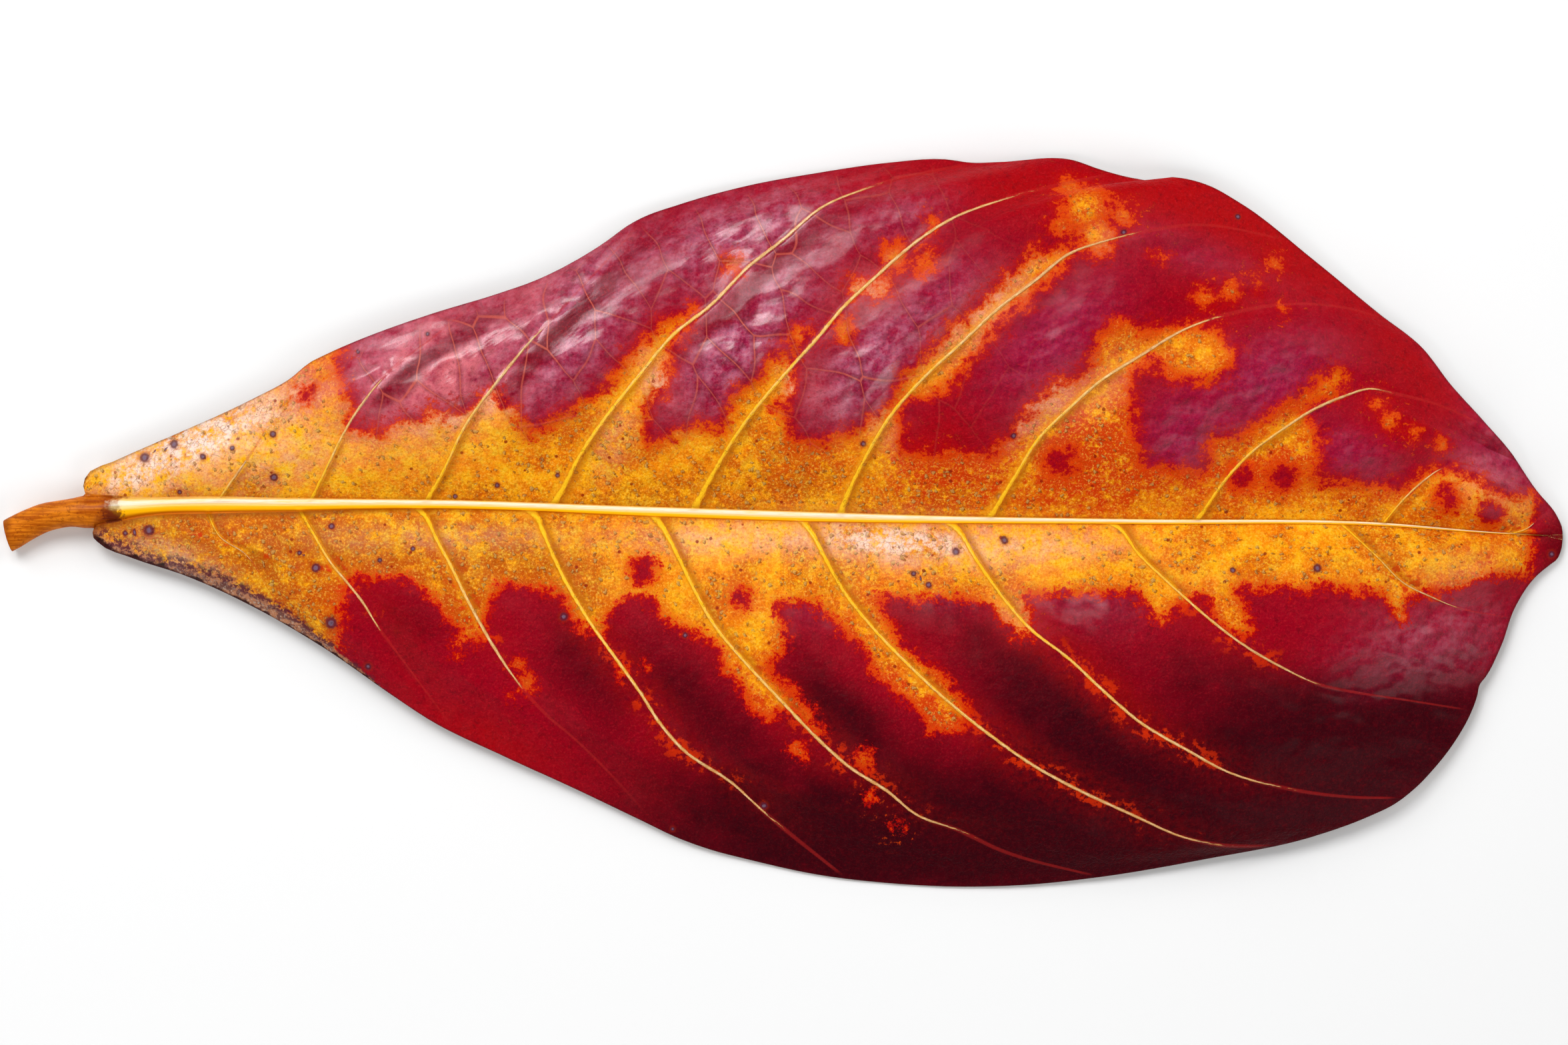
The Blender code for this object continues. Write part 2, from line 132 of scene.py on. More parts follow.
RIGHT_LINES = (
    ((-97.8, 1.7), (-97.6, -0.6)),
    ((-95.4, 1.9), (-96.3, -0.4), (-97.2, -2.7)),
    ((-91.0, 2.3), (-90.2, -1.5), (-88.5, -6.2)),
    ((-82.0, 2.5), (-79.7, -2.0), (-76.0, -4.5), (-72.5, -10.0), (-68.5, -15.7)),
    ((-69.0, 2.6), (-66.5, -1.5), (-64.0, -5.5), (-61.5, -8.5), (-59.5, -11.0),
     (-57.5, -14.2), (-53.2, -20.2), (-46.0, -30.2)),
    ((-52.4, 2.6), (-50.5, 0.7), (-49.5, -1.5), (-47.0, -6.0), (-44.5, -11.0),
     (-42.0, -15.5), (-38.3, -21.3), (-33.5, -27.0), (-30.0, -30.0), (-17.0, -43.8)),
    ((-36.6, 2.1), (-35.0, 0.8), (-34.0, -1.5), (-31.5, -7.0), (-28.0, -13.0),
     (-22.5, -20.7), (-20.0, -24.2), (-17.5, -28.2), (-14.2, -32.0), (-7.0, -37.0),
     (-3.8, -40.0), (9.0, -50.7)),
    ((-18.8, 1.55), (-17.5, 0.0), (-15.0, -4.5), (-12.5, -9.5), (-10.0, -14.0),
     (-5.0, -20.0), (0.0, -25.3), (5.0, -30.5), (9.5, -34.5), (15.0, -38.0), (18.5, -41.0),
     (25.0, -43.5), (30.0, -46.0), (45.0, -50.4)),
    ((2.3, 0.8), (3.5, -0.5), (6.0, -5.0), (8.5, -9.5), (12.0, -14.0), (17.0, -19.3),
     (25.0, -26.6), (30.0, -30.5), (36.0, -34.6), (42.0, -37.8), (49.3, -41.2),
     (57.0, -44.6), (61.5, -45.6), (70.0, -46.0)),
    ((23.2, 0.4), (24.5, -0.5), (27.0, -4.5), (30.0, -9.0), (35.0, -15.0), (40.0, -18.8),
     (45.0, -23.5), (50.0, -27.8), (57.5, -32.2), (62.0, -34.7), (70.0, -37.1),
     (79.5, -38.6), (88.0, -38.9)),
    ((46.3, 0.12), (47.5, -0.5), (50.0, -4.0), (54.5, -8.5), (60.0, -13.5), (65.0, -17.3),
     (70.0, -20.2), (76.0, -22.9), (79.3, -23.6), (88.0, -25.0), (97.8, -26.6)),
    ((79.0, -0.15), (84.0, -5.0), (87.5, -8.5), (91.5, -10.5), (95.3, -12.0),
     (103.5, -13.5)),
    ((102.5, -1.4), (105.0, -3.6), (108.6, -6.4)),
    ((108.0, -1.7), (111.0, -2.0)),
)
BASE_LINES = 3  # lines of each half before its first side vein
EVEN_ROWS = 300  # rows across the midrib, besides those that hug the side veins
NUMBER_FROM = {1: 20, -1: 50}  # the number of each half's first line, for the finish
TIP_LINES = {1: 1, -1: 2}  # lines of each half after its last side vein

# Of each side vein: the share of its way to the margin where its dry cord ends, and its width.
LEFT_CORDS = ((0.36, 0.75), (0.54, 0.75), (0.56, 0.9), (0.80, 1.0), (0.80, 1.0), (0.70, 0.95),
              (0.62, 0.95), (0.66, 0.8), (0.42, 0.55), (0.5, 0.35))
RIGHT_CORDS = ((0.46, 0.35), (0.52, 0.75), (0.50, 0.95), (0.80, 0.95), (0.74, 0.95),
               (0.88, 0.9), (0.76, 0.85), (0.60, 0.75), (0.70, 0.45))

# How each half arches between the midrib and its margin, against x at the midrib, and how high
# its margin lies, against x of the margin.
ARCH = {
    1: ((-99.0, 0.0), (-90.0, 1.5), (-75.0, 3.2), (-50.0, 5.4), (-20.0, 7.2), (10.0, 8.0),
        (35.0, 7.4), (60.0, 5.2), (85.0, 3.0), (100.0, 1.2), (108.0, 0.0)),
    -1: ((-98.0, 0.0), (-90.0, 1.2), (-75.0, 2.6), (-50.0, 4.6), (-20.0, 6.2), (10.0, 7.0),
         (35.0, 6.8), (60.0, 5.2), (85.0, 3.0), (100.0, 1.2), (108.0, 0.0)),
}
MARGIN_LIFT = {
    1: ((-99.0, 2.6), (-85.0, 2.6), (-60.0, 3.0), (-25.0, 1.6), (10.0, 0.3), (28.0, 0.24),
        (60.0, 2.2), (85.0, 1.2), (100.0, 1.8), (111.0, 1.0)),
    -1: ((-98.0, 2.6), (-85.0, 2.4), (-60.0, 2.2), (-30.0, 1.3), (5.0, 0.3), (24.0, 0.24),
         (60.0, 1.5), (85.0, 2.6), (100.0, 1.9), (111.0, 1.0)),
}

# Where the blade is still gold: the border of the gold on each half, from stalk to tip.
LEFT_GOLD = ((-106, 9), (-98, 12), (-85, 16.5), (-70, 23.4), (-66, 26), (-62.6, 27),
             (-62.3, 21), (-60.5, 17), (-60.8, 13.2), (-56, 13), (-54, 15), (-51.5, 15),
             (-49.5, 16.6), (-47.2, 15.4),
             (-44.5, 16.5), (-41, 19), (-37.6, 16.2), (-35.6, 12.9), (-32, 15.4), (-29, 17.2),
             (-25, 19.8), (-20.8, 25.4), (-17.7, 28.6), (-12.4, 30.7), (-12.3, 29), (-14.7, 26),
             (-16, 20.5), (-16.3, 18.6), (-18.9, 16), (-19, 12), (-18.1, 10.4), (-16, 12.9),
             (-12, 14.2), (-8.8, 13.4), (-8.2, 15.6), (-7, 18.8), (-3.7, 20.6), (-2.2, 23.8),
             (2, 24), (1.9, 20.5), (1.4, 17), (-0.7, 16.5), (1.2, 14.4), (1.3, 12), (3.1, 10.2),
             (5.3, 10.9), (6.6, 12.7), (9, 13), (12.2, 14.9), (15.6, 17.8), (16.4, 21),
             (18.9, 23.4), (22, 25.8), (23, 28), (26, 30), (31, 34.5), (34.5, 38.2), (40, 39.5),
             (41.5, 37.5), (38, 34.5), (33, 30), (29, 26), (25.5, 21), (22, 18), (16.8, 17),
             (16.6, 12.5), (18.5, 7.4), (20, 6.4), (23.8, 8.1), (28, 9), (31, 11.5),
             (34, 15.5), (37, 19.5), (42.6, 21.5), (43.5, 26.5), (48, 28.7), (51, 27),
             (56, 28.4), (61, 27.6), (64, 24), (61.5, 19.8), (55, 20), (52, 22.5), (49, 20),
             (49.6, 16), (50, 12.8), (51.5, 7.4), (54, 5.2), (57.2, 4.9), (59.2, 8),
             (60.2, 12.6), (65, 12.8), (68, 15.5), (73.5, 18.6), (78, 22.6), (80.5, 20.4),
             (78.5, 18.6), (73.6, 15.8), (76.2, 12), (75.4, 6.6), (78.6, 3.4), (82, 2.9),
             (86, 4.2), (90, 7.2), (94.8, 8.4), (99, 6.4), (103, 3.6), (105.4, 0.4),
             (107, -2), (107, -8))
RIGHT_GOLD = ((-106, -8), (-85, -11), (-75, -15.5), (-66, -21), (-62, -23), (-62.2, -12),
              (-60.5, -8.6), (-57.4, -6), (-55.3, -6.8), (-53.4, -8.6), (-49.4, -11.8),
              (-46.2, -15), (-47.5, -17.4), (-47, -19.6), (-45.6, -19.4), (-45, -17.3),
              (-42.3, -17), (-40.4, -17.6), (-41.4, -14), (-40.6, -12), (-39.9, -9.8),
              (-38.2, -7.8), (-35.8, -7.5), (-33.4, -9.8), (-31.3, -10.8), (-30.4, -13),
              (-29.2, -15), (-27.1, -15.8), (-25, -17), (-24.4, -14), (-23.7, -12.8),
              (-21.2, -11.3), (-19, -11.5), (-18.2, -13.2), (-15.2, -15.3), (-12.3, -16.3),
              (-9.7, -17.9), (-8.9, -20.8), (-6.8, -23.4), (-5.1, -26.4), (-2.1, -28.5),
              (1, -26.8), (4.6, -31), (6.4, -29.4), (4.6, -26.6), (2.4, -24.2), (0, -21.6),
              (-1.4, -20.2), (0.4, -18.2), (0.9, -14.6), (-0.2, -11.8), (0.9, -8.7),
              (3.8, -8.1), (4.1, -10.4), (3.9, -12.1), (6.8, -14.1), (8.3, -16.1),
              (10.3, -17.6), (12.3, -21), (15.8, -25), (19.2, -27.2), (20.4, -29.6),
              (23.7, -29.8), (26.4, -28.6), (26.6, -25.4), (23.6, -21.8), (20.4, -18.8),
              (16.8, -16.4), (15.6, -13.6), (14.3, -11), (14.3, -8.6), (16.8, -6.6),
              (20.2, -4.8), (21.5, -4.8), (21.9, -7.8), (23.9, -10.2), (28.2, -12.2),
              (30.6, -14.2), (32.1, -16.2), (35.4, -17), (35.6, -13.6), (34.6, -9), (35.8, -6),
              (38.1, -4.2), (40.2, -6.1), (42.5, -6.4), (44.5, -4.2), (46.5, -5.7),
              (48, -8.4), (50.2, -11.2), (51, -13.2), (53.5, -14.9), (55.4, -12.4),
              (58.9, -10.8), (60.2, -14.2), (62.9, -16.4), (66.6, -16.2), (66, -12.6),
              (64.4, -9.6), (66.4, -8.2), (69.8, -9.1), (71.8, -10.2), (75.8, -9.4),
              (80, -10), (84, -10.6), (86, -14), (88, -14), (88.6, -11.4), (92, -10),
              (97, -9.4), (102, -7.6), (105, -5), (107, -2), (107, 4))
# Round patches that the border leaves out: x, y and radius, with a minus for red in the gold.
PATCHES = ((-7.4, 36.4, 1.5), (2.2, 26.5, 1.7), (8.5, 27.2, 1.8), (10.4, 33.2, 1.5),
           (15.4, 37.4, 2.2), (13.6, 33, 1.9), (20, 36.6, 1.8), (21, 42.4, 0.9),
           (42.5, 44.5, 3.6), (44, 40.5, 3.2), (40.5, 47.5, 1.8), (48, 43.4, 1.8),
           (39, 42, 1.6), (53, 37.6, 0.7), (59.5, 31.8, 1.3), (62.6, 33.2, 1.5),
           (67.2, 34, 1.0), (69.6, 36.8, 1.2), (70.6, 30.2, 0.6), (84, 17, 1.1),
           (86, 14.4, 1.2), (88.4, 12.6, 0.9), (93, 11, 0.6), (39.4, 8.8, -1.6),
           (64.8, 6.6, -1.3), (70.5, 6.6, -1.5), (-19.8, -6.6, -1.2), (-5.9, -10.6, -0.8),
           (-36, -22.6, 1.9), (-37.4, -20, 1.2), (-38, -25, 1.0), (-22.6, -21, 1.4),
           (-19.4, -20.4, 0.7), (2.2, -31.8, 1.6), (11.4, -33.2, 1.9), (12.4, -38.6, 0.6),
           (16, -43, 1.0), (32.6, -35.4, 0.2), (-67.6, 18.4, -0.6), (94, 3.4, -1.2),
           (100.4, 1.4, -1.0), (-62.6, -18, 1.6))
# Broad tints: x, y, the half widths, the turn of the long way in degrees, and the strength.
SCARLET = ((70, 40, 34, 9, -35, 1.0), (45, 47, 30, 6, -3, 1.0), (95, 20, 18, 7, -50, 0.8),
           (15, 48, 20, 3.5, 5, 0.6), (-60, 21, 5, 5, 0, 0.7), (22, 12, 8, 5, 20, 0.7),
           (48, -26, 9, 3, -45, 0.8), (-42, -31, 14, 4.5, -25, 0.7), (16, -41, 7, 6, -30, 0.9),
           (65, 30, 10, 5, 0, 0.8), (85, 14, 8, 5, -35, 0.7), (-18, -38, 9, 4, -25, 0.3),
           (110, -3, 4, 5, 0, 0.3), (36, -12, 4, 5, 0, 0.5), (-53, -17, 4, 8, 20, 0.3))
# Where the swollen panels turn mauve and shine: partly their own tint and partly painted sheen in
# the colour, besides a real coat.
MAUVE_AND_SHEEN = ((-54, 22, 9, 8, 10, 0.9), (-42, 24, 7, 9, -30, 1.0), (-30, 28, 13, 7, 55, 1.0),
         (-6, 26, 13, 6.5, 50, 1.0), (-5, 40, 14, 6, 15, 0.9), (12, 22, 10, 6, 50, 0.9),
         (22, 31, 8, 4, 45, 0.7), (17, 43, 8, 4, 20, 0.4), (56, 12, 7, 6, 60, 0.7),
         (38, 26, 11, 6, 45, 0.7), (68, 20, 11, 7, 30, 0.7), (105, 12, 20, 3, -50, 0.7),
         (58, 38, 12, 3, -20, 0.3), (101, 8, 7, 6, -50, 0.8),
         (92, -17, 12, 7, 10, 1.0), (22, -8, 6, 4, -20, 0.9),
         (42, -10, 9, 5, -10, 0.7), (4, -11, 4, 5, 60, 0.5), (80, 10, 8, 4, -20, 0.5),
         (98, -6, 6, 3, 0, 0.3), (82, -24, 12, 6, 10, 0.4))
# Where the skin is flushed with a pale salmon pink.
PINK = ((-49, 21, 11, 8, 30, 1.35), (-37, 31, 7, 4, 40, 0.5), (-57, 15, 5, 3, 10, 0.5),
        (-40, 18, 5, 2.4, 20, 0.6), (-17, 20, 2.4, 6, 30, 0.6), (4, 20, 3, 6, 30, 0.5),
        (26, 29, 9, 3.4, 45, 0.6), (12, 33, 5, 3.4, 30, 0.9), (100, 6, 6, 3, -30, 0.8),
        (-7.4, 36.4, 2.4, 2, 0, 0.9), (37, 17, 6, 3, 45, 0.5), (45, 19, 6, 3, 40, 0.4),
        (46, 40, 5, 3, 30, 0.3), (96, -7, 6, 3, 0, 0.3), (33, -13, 4, 3, -40, 0.5),
        (92, -16, 9, 5, 10, 0.25))
# Where the gold has rusted to a mottled orange red.
RUST = ((-67, 19, 5, 4.5, 30, 0.9), (-77, 16.5, 5, 2, 25, 0.6), (4, 9, 10, 4.5, 10, 0.45),
        (24, 8, 12, 7, 10, 1.3), (44, 9, 14, 9, 10, 1.6), (40, 22, 7, 4, 40, 0.7),
        (68, 8, 14, 5, 10, 1.0), (84, 3.5, 14, 3, 0, 0.6), (60, 5, 9, 4, 0, 0.5),
        (70, 17, 5, 3, 20, 0.8), (43, 43, 7, 6, 0, 0.35), (-32, 14, 4, 3, 40, 0.35),
        (-47, -7, 6, 3, -40, 0.4), (-78, -1, 6, 2, 0, 0.35), (-66, -9, 5, 4, -30, 0.35),
        (12, -13, 4, 8, -40, 0.6), (20, -26, 8, 4, -40, 0.7), (-2, -24, 6, 4, -50, 0.6),
        (60, -13, 5, 4, -30, 0.5), (2, -32, 5, 3, 0, 0.7), (-37, -19, 5, 5, 0, 0.6),
        (100, -4, 8, 5, -20, 0.6), (13, -34, 4, 3, 0, 0.5), (16, 36, 6, 5, 0, 0.4),
        (67, 35, 7, 3, 30, 0.4), (84, -8, 12, 3, 0, 0.3), (28, -8, 5, 4, 0, 0.3))
# Where the reds darken to maroon: partly the leaf's own colour and partly painted shade where the
# right half curves down, away from the light.
MAROON_AND_SHADE = ((30, -44, 62, 14, 3, 1.0), (72, -36, 34, 11, 14, 1.0), (40, -27, 26, 9, -35, 0.75),
          (-12, -25, 16, 7, -45, 0.6), (-28, -20, 10, 7, -50, 0.55), (8, -27, 14, 6, -45, 0.7),
          (68, -24, 20, 7, -20, 0.6), (-52, -14, 7, 5, -40, 0.4), (110, -3, 4, 5, 0, 0.5),
          (-5, -40, 20, 7, -20, 0.45), (90, -30, 12, 9, 40, 0.6), (60, 20, 14, 5, 40, 0.12))
# Where the skin is pale: partly bleached, as at the foot with its cream crackle, and partly
# painted sheen just below the midrib and beside some side veins, where the blade faces the light.
BLEACHED_AND_SHEEN = ((-86, -5.4, 8, 2.4, -22, 0.7), (-83, 12, 14, 5, 22, 1.3),
            (-91, 7.4, 8, 3.4, 25, 1.1), (-72, 15, 7, 5, 35, 0.5),
            (-40, 17.5, 4.5, 1.6, 10, 0.9), (-48, 14, 3.5, 1.2, 15, 0.7),
            (-17.6, 19, 2, 3.4, 20, 0.8), (1.6, 19, 1.4, 2.6, 20, 0.7),
            (30, 31, 8, 2.4, 45, 0.35), (37, 17, 7, 2.6, 45, 0.4),
            (-8, -2.2, 13, 2.2, 0, 0.6), (16, -2.6, 15, 3, -4, 1.2), (36, -3, 12, 2.4, 0, 0.6),
            (-48, -2, 18, 1.8, 0, 0.25), (13, 16, 2, 6, 20, 0.3), (-70, 9, 12, 4, 15, 0.35),
            (-24, 12, 2.6, 5, -20, 0.3))
# Where the gold has darkened to amber: partly its own colour and partly painted shade just above
# the midrib, where the blade slopes away from the light.
AMBER_AND_SHADE = ((-64, -5, 32, 5, -8, 0.75), (-32, -7, 16, 6, -20, 0.6), (-90, -1, 10, 2, -5, 0.5),
         (-45, 4.6, 20, 1.8, -1, 0.7), (-20, 4.5, 14, 2.6, 8, 0.9), (0, 4.5, 14, 3, 8, 1.0),
         (22, 3.6, 12, 3, 5, 1.0), (45, 3.2, 14, 2.6, 0, 0.8), (-80, -0.2, 16, 1.2, 2, 0.7),
         (-50, -8, 26, 3, -10, 0.25), (-28, 10, 3, 6, -25, 0.3), (-8, 9, 3, 6, -25, 0.4))
# The width of the dried band along the right half's margin near the foot, against x.
SCORCHED = ((-98.5, 1.6), (-94.0, 1.3), (-88.0, 1.5), (-84.0, 2.4), (-76.0, 3.7), (-69.0, 3.6),
            (-63.0, 2.2), (-59.0, 1.0), (-56.0, -0.5), (-50.0, -6.0))
# Round dark dots: x, y and radius.
DOTS = ((-86.3, 11.2, 0.6), (-90.5, 9.3, 0.7), (-72, 6.5, 0.55), (-72, 12.6, 0.5),
        (-50.3, 26.8, 0.35), (-60.2, 24.3, 0.35), (-89.8, -1, 0.8), (-64, -0.4, 0.45),
        (-66, -6.3, 0.65), (-63.9, -14.1, 0.85), (-58.8, -20.3, 0.5),
        (-31, -13.2, 0.55), (-13.8, -15.8, 0.4), (-2.7, -40, 0.5), (-15.7, -43.5, 0.35),
        (18.5, -7.1, 0.4), (20.6, -8.7, 0.45), (24.5, -4, 0.55), (31.4, -2.4, 0.55),
        (47.8, -1.1, 0.35), (75.3, -6.3, 0.6), (63.4, -6.6, 0.4), (30.7, 3.8, 0.5),
        (11.4, 11.2, 0.45), (32.5, 12.3, 0.4), (48, 41, 0.45), (64.5, 43.5, 0.4),
        (109.3, -4.4, 0.5), (-93.2, -1.4, 0.4), (-82, 9.4, 0.45), (-85.4, 4.4, 0.35),
        (-77.8, 10.6, 0.35), (-68.4, -4.2, 0.35), (-57, -5.2, 0.35), (-52.4, -3.6, 0.35),
        (-40.6, 5.4, 0.4), (-46.6, 3.8, 0.35), (-32, 6.8, 0.35), (97, 24, 0.3), (74, 40, 0.3))


def spline(position, knots, values):
    """A smooth curve through the values at the knots, for numbers or for points."""
    knots = np.asarray(knots, float)
    values = np.asarray(values, float)
    gaps = np.diff(knots).reshape((-1,) + (1,) * (values.ndim - 1))
    steps = np.diff(values, axis=0) / gaps
    slopes = np.concatenate([steps[:1], steps])
    slopes[1:-1] = (steps[:-1] * gaps[1:] + steps[1:] * gaps[:-1]) / (gaps[:-1] + gaps[1:])
    position = np.clip(position, knots[0], knots[-1])
    span = np.clip(np.searchsorted(knots, position, side="right") - 1, 0, len(knots) - 2)
    gap = np.diff(knots)[span]
    part = (position - knots[span]) / gap
    part = part.reshape(part.shape + (1,) * (values.ndim - 1))
    gap = gap.reshape(part.shape)
    return (
        values[span] * (1 + 2 * part) * (1 - part) ** 2
        + values[span + 1] * part ** 2 * (3 - 2 * part)
        + slopes[span] * gap * part * (1 - part) ** 2
        - slopes[span + 1] * gap * part ** 2 * (1 - part)
    )


def size_at(table, x):
    return spline(x, [row[0] for row in table], [row[1] for row in table])


def even_steps(points, count):
    """The smooth curve through some points, as points at equal steps along it."""
    points = np.asarray(points, float)
    knots = np.r_[0.0, np.cumsum(np.linalg.norm(np.diff(points, axis=0), axis=1))]
    fine = spline(np.linspace(0.0, knots[-1], 12 * count), knots, points)
    along = np.r_[0.0, np.cumsum(np.linalg.norm(np.diff(fine, axis=0), axis=1))]
    want = np.linspace(0.0, along[-1], count)
    return np.stack([np.interp(want, along, fine[:, axis]) for axis in (0, 1)], axis=-1)


def centre_line(x):
    return np.stack([x, spline(x, [p[0] for p in CENTRE], [p[1] for p in CENTRE])], axis=-1)


def ramp(value, low, high):
    part = np.clip((value - low) / (high - low), 0.0, 1.0)
    return part * part * (3 - 2 * part)


def inside_depth(places, outline):
    """How deep each place lies inside a closed outline, negative outside."""
    corners = np.asarray(outline, float)
    nearest = np.full(len(places), np.inf)
    inside = np.zeros(len(places), bool)
    for start, end in zip(corners, np.roll(corners, -1, axis=0)):
        way = end - start
        part = np.clip((places - start) @ way / max(way @ way, 1e-9), 0.0, 1.0)
        gap = np.linalg.norm(places - start - part[:, None] * way, axis=1)
        nearest = np.minimum(nearest, gap)
        crosses = (start[1] > places[:, 1]) != (end[1] > places[:, 1])
        rise = way[1] if abs(way[1]) > 1e-9 else 1e-9
        inside ^= crosses & (places[:, 0] < start[0] + (places[:, 1] - start[1]) * way[0] / rise)
    return np.where(inside, nearest, -nearest)


def gold_depth(places):
    """How far each place is inside the gold of the blade."""
    left = inside_depth(places, LEFT_GOLD + ((0, -12), (-106, -5)))
    right = inside_depth(places, RIGHT_GOLD + ((0, 12), (-106, 9)))
    depth = np.maximum(left, right)
    for x, y, radius in PATCHES:
        reach = abs(radius) - np.hypot(places[:, 0] - x, places[:, 1] - y)
        if radius > 0:
            depth = np.maximum(depth, reach)
        else:
            depth = np.minimum(depth, -reach)
    return depth


def tint(places, dabs):
    """How strongly a few broad soft dabs colour each place."""
    total = np.zeros(len(places))
    for x, y, wide, high, turn, strength in dabs:
        turn = math.radians(turn)
        right = places[:, 0] - x
        up = places[:, 1] - y
        long_way = (right * math.cos(turn) + up * math.sin(turn)) / wide
        short_way = (up * math.cos(turn) - right * math.sin(turn)) / high
        dab = strength * np.exp(-1.2 * (long_way ** 2 + short_way ** 2))
        total = total + dab - total * np.minimum(dab, 1.0)
    return total


class Half:
    """One half of the blade, with its side of the stalk, as rows that follow its veins."""

    def __init__(self, side, margin, lines, cords, sizes):
        self.side = side
        self.sizes = sizes
        self.margin = even_steps(margin, 1600)
        self.feet = np.array([line[0][0] for line in lines])
        self.order = np.arange(len(lines))
        self.stops = []
        self.bows = []
        share = np.linspace(0.0, 1.0, 121)[:, None]
        for line in lines:
            path = even_steps(line, 121)
            reach = np.linalg.norm(self.margin - path[-1], axis=1)
            self.stops.append(np.argmin(reach) / (len(self.margin) - 1))
            self.bows.append(path - path[0] - share * (path[-1] - path[0]))
        self.stops[0] = 0.0
        self.stops[-1] = 1.0
        self.bows = np.array(self.bows)
        self.veins = self.order[BASE_LINES:len(lines) - TIP_LINES[side]]
        blank = ((1.0, 0.0),)
        cords = blank * BASE_LINES + tuple(cords) + blank * len(lines)
        self.cords = np.array(cords[:len(lines)])

    def line_at(self, x):
        return np.interp(x, self.feet, self.order)

    def ends(self, x):
        stop = np.interp(self.line_at(x), self.order, self.stops) * (len(self.margin) - 1)
        places = np.arange(len(self.margin))
        end = np.stack([np.interp(stop, places, self.margin[:, axis]) for axis in (0, 1)], -1)
        middle = centre_line(x)
        ahead = centre_line(x + 0.2) - centre_line(x - 0.2)
        ahead /= np.linalg.norm(ahead, axis=1)[:, None]
        across = self.side * np.stack([-ahead[:, 1], ahead[:, 0]], axis=-1)
        tube = middle + across * size_at(RIB_WIDTH, x)[:, None] / 2
        return middle, np.where((x < self.feet[0])[:, None], tube, end)

    def columns(self, x, turns, shares, curl):
        """Each row's columns, as shares of the way from the midrib's centre to the margin."""
        middle, end = self.ends(x)
        reach = np.maximum(np.linalg.norm(end - middle, axis=1), 1e-6)
        rib = np.minimum(size_at(RIB_WIDTH, x) / 2, reach)
        inner = np.sin(np.radians(turns)) * (rib / reach)[:, None]
        start = inner[:, -1:]
        edge = self.sizes.blade / 2 / np.maximum(reach, 1.5 * self.sizes.blade)[:, None]
        stop = np.maximum(1.0 - edge, start + 0.6 * (1.0 - start))
        blade = start + np.asarray(shares) * (stop - start)
        rim = stop + (1.0 - stop) * np.sin(np.radians(curl))
        return np.concatenate([inner, blade, rim], axis=1)

    def place(self, line, share):
        """Where the lines of these numbers are at these shares, seen from above."""
        low = np.clip(np.floor(line).astype(int), 0, len(self.feet) - 2)
        part = (line - low)[..., None]
        before = np.clip(np.floor(share * 120).astype(int), 0, 119)
        rest = (share * 120 - before)[..., None]
        near = self.bows[low, before] * (1 - rest) + self.bows[low, before + 1] * rest
        far = self.bows[low + 1, before] * (1 - rest) + self.bows[low + 1, before + 1] * rest
        return near * (1 - part) + far * part

    def plan(self, x, share):
        middle, end = self.ends(x)
        line = np.broadcast_to(self.line_at(x)[:, None], share.shape)
        bow = self.place(line, share)
        bow = np.where((x < self.feet[0])[:, None, None], 0.0, bow)
        return middle[:, None] + share[..., None] * (end - middle)[:, None] + bow

    def vein_gap(self, x, share, plan):
        """How near the nearest side vein is, in its half widths and in mm, and its age there."""
        line = self.line_at(x)
        ratio = np.full(share.shape, 20.0)
        lee = np.full(share.shape, 9.0)
        age = np.zeros(share.shape)
        for vein in self.veins:
            rows = np.abs(line - vein) < 0.75
            if not rows.any():
                continue
            here = share[rows]
            foot = np.full(here.shape, float(vein))
            ends = self.ends(np.array([self.feet[vein]]))
            path = []
            for step in (-0.01, 0.01):
                at = np.clip(here + step, 0.0, 1.0)
                way = at[..., None] * (ends[1] - ends[0])
                path.append(ends[0] + way + self.place(foot, at))
            ahead = path[1] - path[0]
            ahead /= np.maximum(np.linalg.norm(ahead, axis=-1), 1e-9)[..., None]
            off = plan[rows] - (path[0] + path[1]) / 2
            gap = off[..., 0] * ahead[..., 1] - off[..., 1] * ahead[..., 0]
            stop, width = self.cords[vein]
            taper = np.interp(here / stop, (0, 0.05, 0.12, 0.4, 0.8, 1.0, 1.3),
                              (1.9, 1.15, 0.85, 0.7, 0.68, 0.36, 0.2))
            nearer = np.abs(gap) < np.abs(lee[rows])
            ratio[rows] = np.where(nearer, np.abs(gap) / (width * taper / 2), ratio[rows])
            lee[rows] = np.where(nearer, gap * self.side, lee[rows])
            age[rows] = np.where(nearer, here / stop, age[rows])
        return np.minimum(ratio, 20.0), lee, age

    def skins(self, x, share):
        """The plan, the heights of the two skins, and what the finish reads off each place."""
        sizes = self.sizes
        plan = self.plan(x, share)
        middle, end = self.ends(x)
        reach = np.maximum(np.linalg.norm(end - middle, axis=1), 1e-6)[:, None]
        rib = size_at(RIB_WIDTH, x)[:, None] / 2
        off = share * reach / rib
        oval = np.sqrt(np.clip(1 - off * off, 0.0, 1.0))
        depth = size_at(RIB_DEPTH, x)[:, None]
        root = depth + size_at(RIB_LIFT, x)[:, None]
        tip = size_at(MARGIN_LIFT[self.side], plan[:, -1, 0])[:, None]
        level = root + (tip - root) * ramp(share, 0.0, 1.0)
        level = level + size_at(ARCH[self.side], x)[:, None] * np.sin(np.pi * share ** 0.85)
        line = self.line_at(x)
        low = np.clip(np.floor(line).astype(int), 0, len(self.feet) - 2)
        between = (line - low)[:, None]
        veined = (low >= BASE_LINES - 1) & (low < len(self.feet) - TIP_LINES[self.side])
        gap = np.gradient(self.feet)[low][:, None] / 20.0
